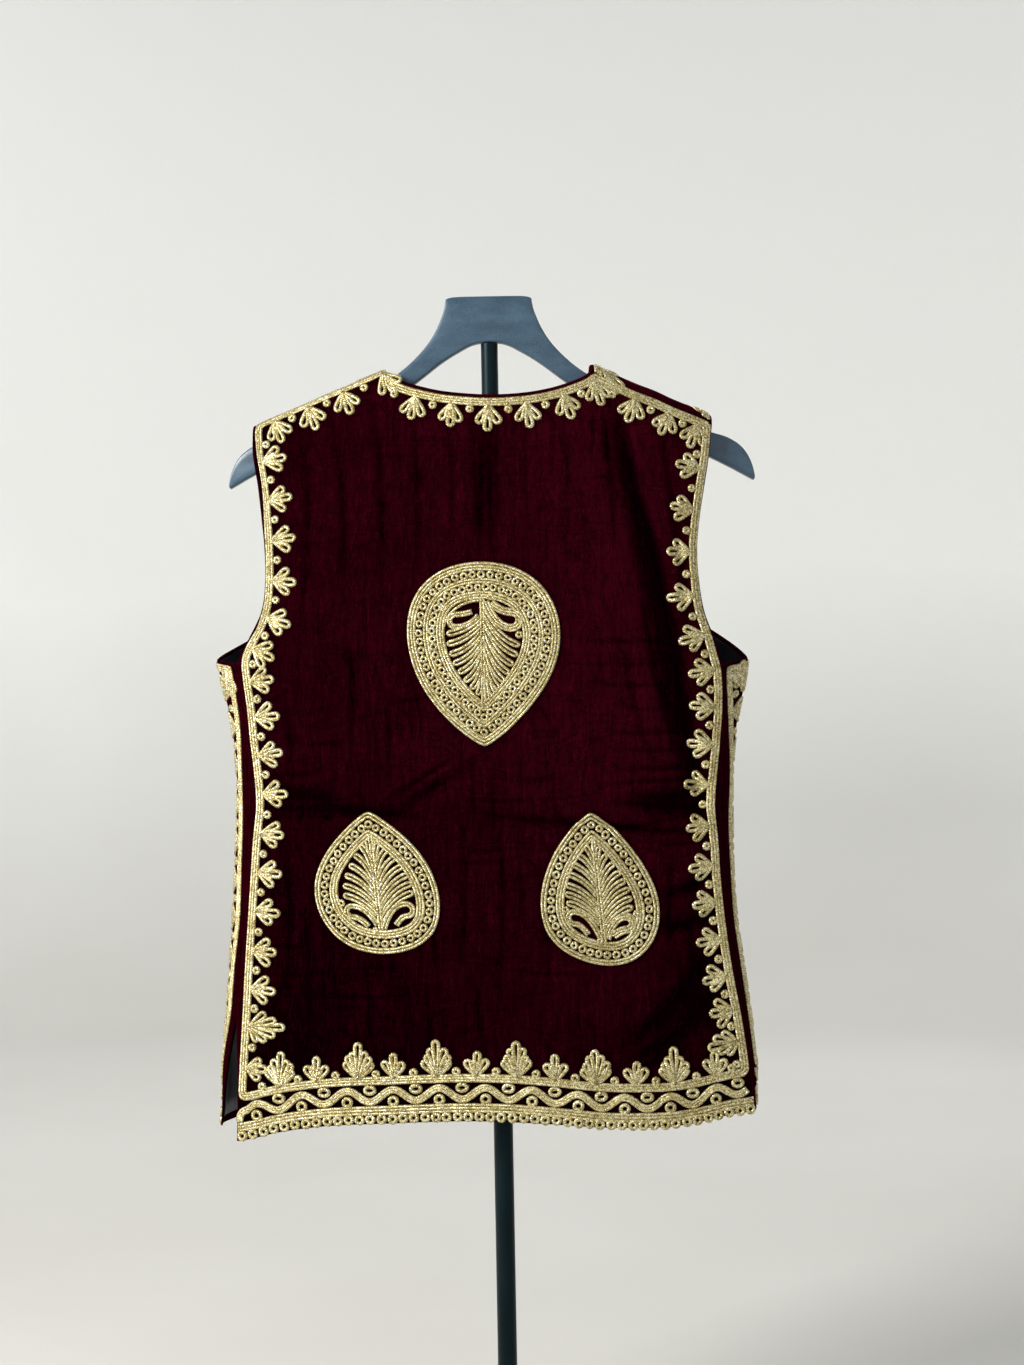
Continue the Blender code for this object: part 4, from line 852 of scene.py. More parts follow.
# %% [markdown]
# ## Cloth shells
#
# Each piece of cloth is one operator: bmesh makes a flat grid, every vertex is moved to its place on the
# map, and a Solidify modifier gives the grid the thickness of velvet and its backing.  Moving a grid
# keeps the quads even, which a remesh or a cut from a bigger sheet would not.


# %% From a flat grid to a cloth shell
VELVET_THICKNESS = 1.6
LINING_THICKNESS = 0.8
LINING_GAP = 0.5


def make_object(name, mesh, finish_material, smooth=True):
    """Link a mesh as an object with one material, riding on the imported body."""
    mesh.materials.append(finish_material)
    mesh.polygons.foreach_set("use_smooth", [smooth] * len(mesh.polygons))
    made = bpy.data.objects.new(name, mesh)
    bpy.context.scene.collection.objects.link(made)
    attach(made, "root")
    return made


GRID_PLACES = {}
# strengths of the painted shade in the velvet's colour, beside the cords, in folds, in creases and on the
# side strips; the lining's slack is a shape
PAINTED_STITCH_SHADE = 3.0
FOLD_SHADE = 1.5
LINING_SLACK = 0.36
CREASE_SHADE = 2.3
PAINTED_STRIP_SHADE = 3.4


def cloth_shell(name, cloth, shape, columns, rows, lift, thickness, finish_material):
    """A shell whose grid place (across, down), each 0 to 1, goes to shape(across, down) on the map."""
    folds, creases = (BACK_FOLDS, BACK_CREASES) if "back" in name else (FRONT_FOLDS, FRONT_CREASES)
    grid = bmesh.new()
    bmesh.ops.create_grid(grid, x_segments=columns, y_segments=rows, size=0.5)
    mesh = bpy.data.meshes.new(name)
    grid.to_mesh(mesh)
    grid.free()
    flat = np.zeros(len(mesh.vertices) * 3)
    mesh.vertices.foreach_get("co", flat)
    flat = flat.reshape(-1, 3)
    u, h = shape(flat[:, 0] + 0.5, 0.5 - flat[:, 1])
    points, normals = place(cloth, u, h, lift)
    depth = fold_depth(folds, points[:, 0], points[:, 2])
    if lift < 0:
        # the lining bridges the folds on the inside and keeps clear of the velvet there
        points = points - normals * (LINING_SLACK * np.clip(depth, 0, 8))[:, None]
    mesh.vertices.foreach_set("co", (points * MM).ravel())
    # painted shade for the velvet's colour: darker in folds and creases, with painted highlights on the
    # ridges beside the creases
    depth = FOLD_SHADE * depth
    depth += CREASE_SHADE * fold_depth(creases, points[:, 0], points[:, 2], RIDGE_SHARE)
    GRID_PLACES[name] = (u, h)
    painted_pile_shade = mesh.attributes.new("painted_pile_shade", "FLOAT", "POINT")
    painted_pile_shade.data.foreach_set("value", np.clip(depth, -2.0, 9.0))
    corners = np.zeros(len(mesh.loops), dtype=np.int32)
    mesh.loops.foreach_get("vertex_index", corners)
    uv = mesh.uv_layers.new(name="cloth")
    uv.data.foreach_set("uv", np.stack([u, h], axis=1)[corners].ravel())
    mesh.update()
    middle = mesh.polygons[len(mesh.polygons) // 2]
    if np.dot(middle.normal, normals[middle.vertices[0]]) < 0:
        mesh.flip_normals()
    made = make_object(name, mesh, finish_material)
    solidify = made.modifiers.new("thickness", "SOLIDIFY")
    solidify.thickness = thickness * MM
    solidify.offset = 0.0
    return made


# %% Outline of the back
# the velvet turns round the lining at the hem, a millimetre below the solid's edge
HEM_TURN = 1.0


def run_over_shoulder(drop):
    """Way over the shoulder's bend that loses this much height."""
    bend = np.arccos(np.clip(1 - drop / SHOULDER_RADIUS, 0, 1)) * SHOULDER_RADIUS
    return bend + np.maximum(drop - SHOULDER_RADIUS, 0)


def back_top(x):
    """Map height of the back's cut edge along the shoulders and the neck."""
    run = np.where(x < 0, SEAM_PAST_RIDGE["left"], SEAM_GAP - SEAM_PAST_RIDGE["right"])
    neck_run = run_over_shoulder(read(RIDGE, "z", x) - read(BACK_NECK, "z", x))
    inside = (x > BACK_NECK["x"][0]) & (x < BACK_NECK["x"][-1])
    return height_on_map(x, np.where(inside, np.maximum(run, neck_run), run))


def back_shape(across, down, inset=0.0):
    """Map place of the back's grid: across 0 to 1 from left to right, down 0 to 1 from top to hem."""
    x = BACK_TOP_LEFT + across * (BACK_TOP_RIGHT - BACK_TOP_LEFT)
    for _ in range(5):
        top, hem = back_top(x) - inset, read(BACK_HEM, "z", x) - HEM_TURN + inset
        h = top + (hem - top) * down
        z = over_shoulder(x, h)[0]
        left, right = read(BACK_LEFT, "gold", z), read(BACK_RIGHT, "gold", z)
        first = left - strip_length("left", z) + inset
        last = right + strip_length("right", z) - inset
        u = first + across * (last - first)
        x = np.clip(u, left, right)
    return u, h


# %% Outline of a front
ROW_STEPS = 10
# rows of a front's table: the shoulder's curve has gone, the neck ends, the side seam starts, and the
# hem's curve starts
SHOULDER_ROWS = 4
NECK_ROWS = 6
SEAM_ROW = 11
HEM_CURVE_ROW = 17


def through(values, at):
    """Values at whole numbers 0, 1, 2..., read in between on a curve that never overshoots."""
    values = np.asarray(values, dtype=float)
    secants = np.diff(values)
    slopes = np.zeros(len(values))
    same = secants[:-1] * secants[1:] > 0
    with np.errstate(divide="ignore", invalid="ignore"):
        harmonic = 2 * secants[:-1] * secants[1:] / (secants[:-1] + secants[1:])
    slopes[1:-1] = np.where(same, harmonic, 0.0)
    slopes[0], slopes[-1] = secants[0], secants[-1]
    low = np.clip(np.asarray(at).astype(int), 0, len(values) - 2)
    return cubic(values, slopes, low, at - low)


def front_outline(side):
    """Both side lines of a front as arrays of (p, h), one place for each row of the table and the hem."""
    rows = FRONT_ROWS[side]
    sign = SIDES[side]
    outer = np.stack([rows["side_p"], rows["side_z"]], axis=1)
    inner = np.stack([rows["edge_p"], rows["edge_z"]], axis=1)
    for line in (outer, inner):
        line[0, 1] = height_on_map(sign * line[0, 0], SEAM_PAST_RIDGE[side])
    for k, end in enumerate(rows["end"]):
        if end != ARMHOLE:
            outer[k, 0] = side_length(side, outer[k, 1]) - (SIDE_STRIP if end == CORNER else 0.0)
    hem_side = float(read(FRONT_HEM, "z", sign * HEAD_HALF_WIDTH))
    hem_edge = float(read(FRONT_HEM, "z", -11.0))
    outer = np.vstack([outer, (side_length(side, hem_side), hem_side)])
    inner = np.vstack([inner, (FRONT_GAP, hem_edge)])
    return outer, inner


OUTLINES = {side: front_outline(side) for side in SIDES}
LAST_ROW = len(OUTLINES["left"][0]) - 1


def hem_height(side, p):
    """Height of a front's hem at p."""
    column = (p - SECTION_RUNS[0]) / RUN_STEP
    row = np.full(np.shape(p), (340.0 - SECTION_HEIGHTS[0]) / SECTION_STEP)
    return read(FRONT_HEM, "z", bilinear(SECTIONS[side], row, column)[..., 0])


def front_shape(side, across, down, inset=0.0):
    """Map place of a front's grid: across 0 to 1 from the side to the front edge, down from the top."""
    outer, inner = OUTLINES[side]
    row = down * LAST_ROW
    rows = np.arange(LAST_ROW + 1)
    seam, open_edge = row >= SEAM_ROW, row >= NECK_ROWS
    side_h = np.where(seam, np.interp(row, rows, outer[:, 1]), through(outer[:, 1], row))
    side_p = np.where(seam, side_length(side, side_h), through(outer[:, 0], row))
    edge_h = np.where(open_edge, np.interp(row, rows, inner[:, 1]), through(inner[:, 1], row))
    edge_p = np.where(open_edge, FRONT_GAP, through(inner[:, 0], row))
    side_p, edge_p = side_p - inset, edge_p + inset
    p = side_p + across * (edge_p - side_p)
    chord = side_h + across * (edge_h - side_h)
    top_p = outer[0, 0] + across * (inner[0, 0] - outer[0, 0])
    top_chord = outer[0, 1] + across * (inner[0, 1] - outer[0, 1])
    over = height_on_map(SIDES[side] * top_p, SEAM_PAST_RIDGE[side]) - top_chord
    chord = chord + over * np.clip(1 - row / SHOULDER_ROWS, 0, 1) ** 2
    hem_chord = outer[-1, 1] + across * (inner[-1, 1] - outer[-1, 1])
    under = hem_height(side, p) - hem_chord
    h = chord + under * np.clip((row - HEM_CURVE_ROW) / (LAST_ROW - HEM_CURVE_ROW), 0, 1) ** 2
    if inset:
        h = h + inset * (2 * np.clip((row - LAST_ROW + 1), 0, 1) - np.clip(1 - row, 0, 1))
    return p, h


# %% The three velvet pieces and their linings
LINING_LIFT = -(VELVET_THICKNESS / 2 + LINING_GAP + LINING_THICKNESS / 2)
LINING_INSET = 3.5
SHAPES = {"back": back_shape, **{"front_" + side: partial(front_shape, side) for side in SIDES}}
# columns and rows of each grid
VELVET_GRIDS = {"back": (182, 256), "front": (92, ROW_STEPS * LAST_ROW)}
LINING_GRIDS = {"back": (128, 180), "front": (46, ROW_STEPS * LAST_ROW // 2)}
vest = {}
for part, shape in SHAPES.items():
    kind = part.split("_")[0]
    vest[part] = cloth_shell("vest_" + part + "_velvet", CLOTH[part], shape, *VELVET_GRIDS[kind], 0.0,
                             VELVET_THICKNESS, velvet)
    cloth_shell("vest_" + part + "_lining", CLOTH[part], partial(shape, inset=LINING_INSET),
                                *LINING_GRIDS[kind], LINING_LIFT, LINING_THICKNESS, satin)
    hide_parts("vest_" + part)
    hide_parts("lining_" + part)
    print(part, "velvet:", len(vest[part].data.polygons), "quads before its thickness")

# %% [markdown]
# ## Cords laid on the cloth
#
# Couching lays a thick cord on the cloth and stitches it down with fine thread, because the cord itself
# is too stiff to be sewn through.  Every motif here is therefore a path in the map's flat millimetres.
# A path becomes a tube: a low arch, six points round, set on the cloth every one and a half to three
# millimetres.  That makes hundreds of thousands of faces, so all tubes of a piece are joined from arrays
# in one step; a curve object for each cord would take minutes.

# %% Tubes along paths
CORD_WIDTH = 2.9
CORD_HEIGHT = 1.7
MOTIF_CORD_WIDTH = 3.4
CORD_SINK = 0.25
# half section of a couched cord, as shares of its half width and of its height
ARCH = np.array([(-0.8, -0.1), (-1.0, 0.38), (-0.5, 0.95), (0.5, 0.95), (1.0, 0.38), (0.8, -0.1)])


def resample(path, step, closed=False):
    """The same path with points about one step apart."""
    path = np.asarray(path, dtype=float)
    if closed:
        path = np.vstack([path, path[:1]])
    run = np.concatenate(([0], np.cumsum(np.linalg.norm(np.diff(path, axis=0), axis=1))))
    keep = np.concatenate(([True], np.diff(run) > 1e-9))
    path, run = path[keep], run[keep]
    count = max(int(round(run[-1] / step)), 3)
    at = np.linspace(0, run[-1], count + 1)
    points = np.stack([np.interp(at, run, path[:, k]) for k in range(path.shape[1])], axis=1)
    return points[:-1] if closed else points


def tubes(strands, arch, height):
    """Vertices, faces and UVs of tubes; a strand is (points, normals, closed, half width), in millimetres."""
    vertices, faces, uvs = [], [], []
    sides = len(arch)
    start = 0
    for points, normals, closed, half_width in strands:
        if closed:
            tangents = np.roll(points, -1, axis=0) - np.roll(points, 1, axis=0)
        else:
            tangents = np.gradient(points, axis=0)
        across = np.cross(tangents, normals)
        across /= np.linalg.norm(across, axis=1, keepdims=True) + 1e-12
        up = np.cross(across, tangents)
        up /= np.linalg.norm(up, axis=1, keepdims=True) + 1e-12
        rings = (points[:, None] + across[:, None] * arch[None, :, :1] * half_width
                 + up[:, None] * arch[None, :, 1:] * height)
        count = len(points)
        steps = np.linalg.norm(np.diff(points, axis=0), axis=1)
        run = np.concatenate(([0], np.cumsum(steps)))
        here = np.arange(count if closed else count - 1)
        after = (here + 1) % count
        k = np.arange(sides)
        next_k = (k + 1) % sides
        a = start + here[:, None] * sides
        b = start + after[:, None] * sides
        quads = np.stack([a + k, b + k, b + next_k, a + next_k], axis=-1).reshape(-1, 4)
        run_after = np.where(after > here, run[after], run[-1] + steps.mean())
        around = np.arange(sides + 1) / sides
        u0 = np.broadcast_to(run[here][:, None], (len(here), sides))
        u1 = np.broadcast_to(run_after[:, None], (len(here), sides))
        v0 = np.broadcast_to(around[:-1], (len(here), sides))
        v1 = np.broadcast_to(around[1:], (len(here), sides))
        uv = np.stack([np.stack([u0, v0], -1), np.stack([u1, v0], -1),
                       np.stack([u1, v1], -1), np.stack([u0, v1], -1)], axis=2).reshape(-1, 2)
        vertices.append(rings.reshape(-1, 3))
        faces.append(quads)
        uvs.append(uv)
        if not closed:
            first = start + np.arange(sides)
            end = start + (count - 1) * sides + np.arange(sides)
            half = sides // 2
            for ring in (first, end[::-1]):
                for corner in range(1, half):
                    faces.append(ring[[corner - 1, corner, sides - 1 - corner, sides - corner]][None])
                    uvs.append(np.zeros((4, 2)) + (run[-1], 0.5))
        start += count * sides
    return np.concatenate(vertices), np.concatenate(faces), np.concatenate(uvs)


def tube_mesh(name, strands, arch, height):
    """One mesh of all the tubes."""
    vertices, faces, uvs = tubes(strands, arch, height)
    mesh = bpy.data.meshes.new(name)
    mesh.from_pydata((vertices * MM).tolist(), [], faces.tolist())
    mesh.uv_layers.new(name="cord").data.foreach_set("uv", uvs.ravel())
    mesh.update()
    return mesh


def mark_stitches(cloth, path):
    """Note on the cloth's lattice where a cord is stitched down."""
    column = np.round((path[:, 0] - cloth["u"][0]) / LATTICE_STEP).astype(int)
    row = np.round((path[:, 1] - cloth["h"][0]) / LATTICE_STEP).astype(int)
    stitches = cloth.setdefault("stitches", np.zeros(cloth["points"].shape[:2]))
    inside = (column >= 0) & (column < stitches.shape[1]) & (row >= 0) & (row < stitches.shape[0])
    stitches[row[inside], column[inside]] = 1.0


def couch(name, cloth, paths, width=CORD_WIDTH, height=CORD_HEIGHT, step=1.5,
          motif_width=MOTIF_CORD_WIDTH):
    """Cords of gold along motifs' paths of (u, h) and along the bands', which are (path, closed, step)."""
    strands = []
    for path in paths:
        closed, own_step, own_width = False, step, motif_width
        if isinstance(path, tuple):
            path, closed, own_step = path
            own_width = width
        flat = resample(path, own_step, closed)
        mark_stitches(cloth, flat)
        lift = VELVET_THICKNESS / 2 - CORD_SINK
        points, normals = place(cloth, flat[:, 0], flat[:, 1], lift)
        strands.append((points, normals, closed, own_width / 2))
    mesh = tube_mesh(name, strands, ARCH, height)
    made = make_object(name, mesh, gold_cord)
    length = sum(np.linalg.norm(np.diff(s[0], axis=0), axis=1).sum() for s in strands)
    print(f"{name}: {len(strands)} cords, {length / 1000:.1f} m, {len(mesh.polygons)} faces")
    return made


# %% [markdown]
# ## Rolled edges
#
# The armholes and the neck are finished with a narrow rolled binding of the same velvet.  A tube that
# runs just outside the cut edges of velvet and lining gives it; the armhole tubes close on themselves
# under the arm, the neck tube ends inside both front edges.

# %% Armhole and neck bindings
ROLL_RADIUS = 1.7
ROLL_GAP = -0.9
ROUND = np.array([(math.cos(a), math.sin(a)) for a in np.linspace(0, 2 * math.pi, 9)[:-1][::-1]])


def edge_strand(cloth, shape, across, down):
    """Points just outside the cloth's edge, and the directions out of it, along a line of grid places."""
    across, down = np.broadcast_arrays(np.asarray(across, dtype=float), np.asarray(down, dtype=float))
    points, normals = place(cloth, *shape(across, down))
    inner_across = across + np.where(across < 0.01, 0.012, np.where(across > 0.99, -0.012, 0.0))
    inner_down = down + np.where((across >= 0.01) & (across <= 0.99), 0.006, 0.0)
    inner, _ = place(cloth, *shape(inner_across, inner_down))
    out = points - inner
    out /= np.linalg.norm(out, axis=1, keepdims=True)
    stack_middle = (LINING_GAP + LINING_THICKNESS) / 2
    return points + out * (ROLL_RADIUS + ROLL_GAP) - normals * stack_middle, normals


def rolled_edge(name, node, lines, closed):
    """A rolled velvet edge along lines of (points, normals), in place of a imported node."""
    points = np.concatenate([line[0] for line in lines])
    normals = np.concatenate([line[1] for line in lines])
    joined = evened(resample(np.hstack([points, normals]), 2.5, closed), closed, 3)
    strand = (joined[:, :3], joined[:, 3:], closed)
    made = make_object(name, tube_mesh(name, [(*strand, ROLL_RADIUS)], ROUND, ROLL_RADIUS), velvet)
    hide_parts(node)
    return made


UNDERARM = {"left": 724.5, "right": 716.5}
BACK_EDGES = {"left": (0.0, BACK_TOP_LEFT), "right": (1.0, BACK_TOP_RIGHT)}
NECK_HALF_WIDTH = 84
rolled = []
necks = {}
for side in SIDES:
    part = "front_" + side
    edge, corner_x = BACK_EDGES[side]
    top = float(back_top(np.array(corner_x)))
    corner = (top - UNDERARM[side]) / (top - float(read(BACK_HEM, "z", 190 * SIDES[side])))
    back_line = edge_strand(CLOTH["back"], back_shape, edge, np.linspace(0.004, corner - 0.004, 90))
    front_line = edge_strand(CLOTH[part], SHAPES[part], 0.0, np.linspace(10.2, 0.1, 110) / LAST_ROW)
    rolled.append(rolled_edge("armhole_binding_" + side, "armhole_edge_" + side,
                              [back_line, front_line], True))
    necks[side] = edge_strand(CLOTH[part], SHAPES[part], 1.0, np.linspace(5.3, 0.1, 70) / LAST_ROW)
neck_ends = [(end - BACK_TOP_LEFT) / (BACK_TOP_RIGHT - BACK_TOP_LEFT)
             for end in (-NECK_HALF_WIDTH, NECK_HALF_WIDTH)]
neck_lines = [necks["left"],
              edge_strand(CLOTH["back"], back_shape, np.linspace(*neck_ends, 80), 0.0),
              tuple(line[::-1] for line in necks["right"])]
rolled.append(rolled_edge("neck_binding", "neck_edge", neck_lines, False))
print("rolled edges:", ", ".join(piece.name for piece in rolled))

# %% [markdown]
# ## Drawing motifs on the flat map
#
# Traditional couching repeats a few simple figures: a petal is a loop of cord, a palmette is a fan of
# petals, and a small ring is one turn and a bit of cord round a dark eye.  They are drawn flat, in
# millimetres, standing on a base point with one direction inwards and one sideways.


# %% Lines beside lines
def directions(path, turn, closed=False):
    """Unit tangents of a flat path, and the directions inwards; turn is 1 where inside is on the left."""
    tangents = (np.roll(path, -1, 0) - np.roll(path, 1, 0)) if closed else np.gradient(path, axis=0)
    tangents /= np.linalg.norm(tangents, axis=1, keepdims=True) + 1e-12
    return tangents, turn * np.stack([-tangents[:, 1], tangents[:, 0]], axis=1)


def drawn_in(path, distance, turn, closed=False, rounding=2):
    """The path moved inwards by a distance, with the loops at its corners taken out."""
    path = resample(path, 1.0, closed)
    tangents, inwards = directions(path, turn, closed)
    moved = path + inwards * distance
    apart = moved[:, None] - path[None]
    away = np.min(np.hypot(apart[..., 0], apart[..., 1]), axis=1)
    return evened(resample(moved[away > abs(distance) - 0.12], 1.0, closed), closed, rounding)


def rounded(path, corner, reach, passes):
    """A closed path with the bend near one corner softened."""
    for _ in range(passes):
        near = np.clip(1.3 - np.hypot(*(path - corner).T) / reach, 0, 1)[:, None]
        middle = 0.5 * (np.roll(path, 1, 0) + np.roll(path, -1, 0))
        path = path * (1 - near) + middle * near
    return path


# %% Petals, palmettes and rings
def petal(length, half_width):
    """Loop of cord from the base out to a round tip and back: (inwards, sideways) pairs."""
    run = np.linspace(0, length - half_width, 12)
    width = half_width * (0.1 + 0.9 * ease(run / run[-1]) ** 0.75)
    angle = np.linspace(math.pi / 2, -math.pi / 2, 9)[1:-1]
    tip = np.stack([length - half_width + half_width * np.cos(angle), half_width * np.sin(angle)], axis=1)
    side = np.stack([run, width], axis=1)
    return np.vstack([side, tip, side[::-1] * (1, -1)])


def set_down(figure, base, inwards, sideways, angle=0.0):
    """A figure of (inwards, sideways) pairs, turned by an angle in degrees and set on the base point."""
    a = math.radians(angle)
    out = figure[:, :1] * math.cos(a) - figure[:, 1:] * math.sin(a)
    side = figure[:, :1] * math.sin(a) + figure[:, 1:] * math.cos(a)
    return np.asarray(base) + out * np.asarray(inwards) + side * np.asarray(sideways)


def palmette(base, inwards, sideways, petals):
    """A fan of petals, given as (angle, length, half width)."""
    return [set_down(petal(length, width), base, inwards, sideways, angle) for angle, length, width in petals]


def ring(centre, radius, start=0.0, turns=1.12):
    """A little more than one turn of cord."""
    t = np.linspace(0, 1, 11)
    angle = math.radians(start) + 2 * math.pi * turns * t
    reach = radius * (1.06 - 0.12 * t)
    return np.asarray(centre) + np.stack([reach * np.cos(angle), reach * np.sin(angle)], axis=1)


# each petal: angle from the inward direction, length, half width of its loop
SMALL_PALMETTE = ((-35, 16.8, 2.5), (35, 16.8, 2.5), (-16, 11.5, 1.7), (16, 11.5, 1.7), (0, 19.5, 2.55))
NECK_PALMETTE = ((-31, 16.8, 2.55), (31, 16.8, 2.55), (-14, 12.0, 1.7), (14, 12.0, 1.7), (0, 20.2, 2.55))
CORNER_PALMETTE = ((-41, 18.0, 2.4), (37, 17.0, 2.3), (56, 13.0, 2.0), (-20, 23.5, 2.4), (17, 22.5, 2.3),
                   (-2, 28.5, 2.4))
LAST_PALMETTE = ((-38, 12.5, 2.1), (40, 15.5, 2.3), (-18, 18.0, 2.3), (20, 20.0, 2.3), (0, 24.0, 2.4))
LOW_PALMETTE = ((-35, 13.5, 2.4), (35, 13.5, 2.4), (-16, 10.0, 1.7), (16, 10.0, 1.7), (0, 16.5, 2.5))
HEM_PALMETTE = ((-42, 16.5, 2.4), (42, 16.5, 2.4), (-28, 19.5, 2.3), (28, 19.5, 2.3), (-14, 22.5, 2.3),
                (14, 22.5, 2.3), (0, 28.0, 2.4))
HEM_SMALL_PALMETTE = ((-34, 15.0, 2.4), (34, 15.0, 2.4), (-16, 12.0, 1.8), (16, 12.0, 1.8), (0, 19.5, 2.4))
RING_AWAY = 2.9
BAND_STRANDS = (0.9, 3.05, 5.2)
BAND_EDGE = 6.6
# a palmette's foot is tucked this far under the band
PALMETTE_SINK = 0.8
BAND_STEP = 2.4

# %% [markdown]
# ## The back's border
#
# Three cords side by side run all round the back: up the left side, round the armhole, over the
# shoulders, along the neck, down the right side and back along the hem, in one closed band.  Palmettes
# and rings stand on its inner edge in turns, and every one of them sits a little differently, as hand
# couching does.

# %% Line of the back's border
UPPER_BAND_LIFT = 31.2
# towards the right the bands of the hem run lower, close to the cut edge
HEM_BAND_DROP = 2.8
# the gold band runs closer to the cut edge beside the armholes
ARMHOLE_SHIFT = 1.4
# and further from the seam on the left shoulder, where the seam lies right on the ridge
LEFT_SHOULDER_MARGIN = 3.2
UNEVEN = np.random.default_rng(11)


def back_hem(u):
    """Cut edge of the back's hem."""
    return read(BACK_HEM, "z", u) - HEM_TURN


def back_hem_base(u):
    """Line that the bands of the back's hem are measured from."""
    return back_hem(u) - HEM_BAND_DROP * ease(u / 110)


def back_border_line():
    """Closed outer line of the gold band on the back, clockwise from the lower left corner."""
    lift = UPPER_BAND_LIFT + HEM_TURN
    left_z = np.arange(float(back_hem_base(-219.0)) + lift, 926.0, 2.0)
    right_z = np.arange(920.0, float(back_hem_base(208.0)) + lift, -2.0)
    left_x = read(BACK_LEFT, "gold", left_z) - ARMHOLE_SHIFT * ease((left_z - 720) / 40)
    right_x = read(BACK_RIGHT, "gold", right_z) + ARMHOLE_SHIFT * ease((right_z - 720) / 40)
    left, right = np.stack([left_x, left_z], axis=1), np.stack([right_x, right_z], axis=1)
    top_x = np.arange(-198.4, 184.6, 1.5)
    margin = EDGE_MARGIN + LEFT_SHOULDER_MARGIN * ease((-86 - top_x) / 14)
    top = np.stack([top_x, back_top(top_x) - margin], axis=1)
    hem_x = np.arange(right[-1, 0], left[0, 0], -3.0)
    hem = np.stack([hem_x, back_hem_base(hem_x) + lift], axis=1)
    line = resample(np.vstack([left, top, right, hem]), 1.0, True)
    for corner in (left[0], right[-1]):
        line = rounded(line, corner, 9.0, 30)
    return line


BACK_LINE = back_border_line()
back_band = [(drawn_in(BACK_LINE, strand, -1, True), True, BAND_STEP) for strand in BAND_STRANDS]


def standing_place(line, inwards, span):
    """Base point on the band's inner edge, and its inward and sideways directions over a span of 9."""
    # directions are taken over 8 mm, so that a cord's small bends don't tilt a motif
    inward = inwards[span].mean(axis=0)
    inward /= np.linalg.norm(inward)
    return line[span[4]] + inward * BAND_EDGE, inward, np.array([inward[1], -inward[0]])


def spot_on(line, turn, u=None, h=None, near=None):
    """Standing place on a closed line that lies nearest to u or h, where near(u, h) holds."""
    away = np.zeros(len(line))
    if u is not None:
        away += np.abs(line[:, 0] - u)
    if h is not None:
        away += np.abs(line[:, 1] - h)
    away += np.where(near(line[:, 0], line[:, 1]), 0.0, 1e6)
    k = int(np.argmin(away))
    return standing_place(line, directions(line, turn, True)[1], np.arange(k - 4, k + 5) % len(line))


def vary(petals):
    """The same fan with each petal a little longer or shorter and turned by a few degrees."""
    return [(angle + UNEVEN.uniform(-3, 3), length * UNEVEN.uniform(0.94, 1.05),
             width * UNEVEN.uniform(0.9, 1.08)) for angle, length, width in petals]


def border_motifs(line, turn, palmettes, rings):
    """Palmettes at ((u, h, near), petals) and rings at (u, h, near) along a border line."""
    paths = []
    for (u, h, near), petals in palmettes:
        base, inward, sideways = spot_on(line, turn, u, h, near)
        paths += palmette(base - inward * PALMETTE_SINK, inward, sideways, vary(petals))
    for u, h, near in rings:
        base, inward, _ = spot_on(line, turn, u, h, near)
        centre = base + inward * RING_AWAY
        paths.append(ring(centre, UNEVEN.uniform(2.05, 2.3), UNEVEN.uniform(0, 360)))
    return paths


def left_side(u, h):
    """Whether a place is on the left side, below the shoulder."""
    return (u < -150) & (h < 925)


def right_side(u, h):
    """Whether a place is on the right side, below the shoulder."""
    return (u > 140) & (h < 920)


def top_side(u, h):
    """Whether a place is on the shoulders or the neck."""
    return h > 925


# %% The back's border motifs
TOP_PALMETTES = (-185.0, -155.8, -125.5, -92.7, -60.2, -31.8, -1.0, 29.1, 60.0, 87.0, 124.0, 153.0, 177.5)
LEFT_PALMETTES = (896, 862.5, 828, 794, 764.6, 741, 709.4, 680.2, 647.6, 615.8, 584, 551.5, 519.7,
                  486.3, 454.5, 389.5)
RIGHT_PALMETTES = (882.3, 847.2, 812.1, 776.1, 744.4, 713.4, 682.5, 650.7, 617.3, 583.8, 550.4, 520.3, 489.4,
                   458.4, 431.0, 404.6)


def between(places):
    """Places halfway between neighbours."""
    return [(a + b) / 2 for a, b in zip(places, places[1:])]


back_palmettes = [((x, None, top_side), NECK_PALMETTE if abs(x) < 88 else SMALL_PALMETTE)
                  for x in TOP_PALMETTES]
back_palmettes += [((None, z, left_side), SMALL_PALMETTE) for z in LEFT_PALMETTES[:-1]]
back_palmettes += [((None, LEFT_PALMETTES[-1], left_side), LOW_PALMETTE)]
back_palmettes += [((None, z, right_side), SMALL_PALMETTE) for z in RIGHT_PALMETTES[:-1]]
back_palmettes += [((None, RIGHT_PALMETTES[-1], right_side), LAST_PALMETTE)]
back_palmettes += [((None, 423.6, left_side), CORNER_PALMETTE)]
back_rings = [(x, None, top_side) for x in between(TOP_PALMETTES)]
back_rings += [(None, z, left_side) for z in [911.0] + between(LEFT_PALMETTES[:-1]) + [438.5, 406.5]]
back_rings += [(None, z, right_side) for z in [894.0] + between(RIGHT_PALMETTES) + [386.0]]
paths = back_band + border_motifs(BACK_LINE, -1, back_palmettes, back_rings)
border_back = couch("border_back_cords", CLOTH["back"], paths)
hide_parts("border_back")

# %% [markdown]
# ## The hem
#
# Below the band, a triple cord waves along the hem between two straight bands.  Rings hang in its
# troughs and stand under its crests, and a close row of small rings trims the cut edge.  Seven-petal
# palmettes and five-petal ones stand on the upper band in turns.

# %% Hem of the back
LOWER_BAND_LIFTS = (8.4, 11.0, 13.5)
RING_ROW_LIFT = 3.9
RING_ROW_PITCH = 9.0
WAVE_LIFT = 22.9
WAVE_HEIGHT = 4.8
WAVE_PERIOD = 38.0
WAVE_STRANDS = (-1.8, 0.0, 1.8)
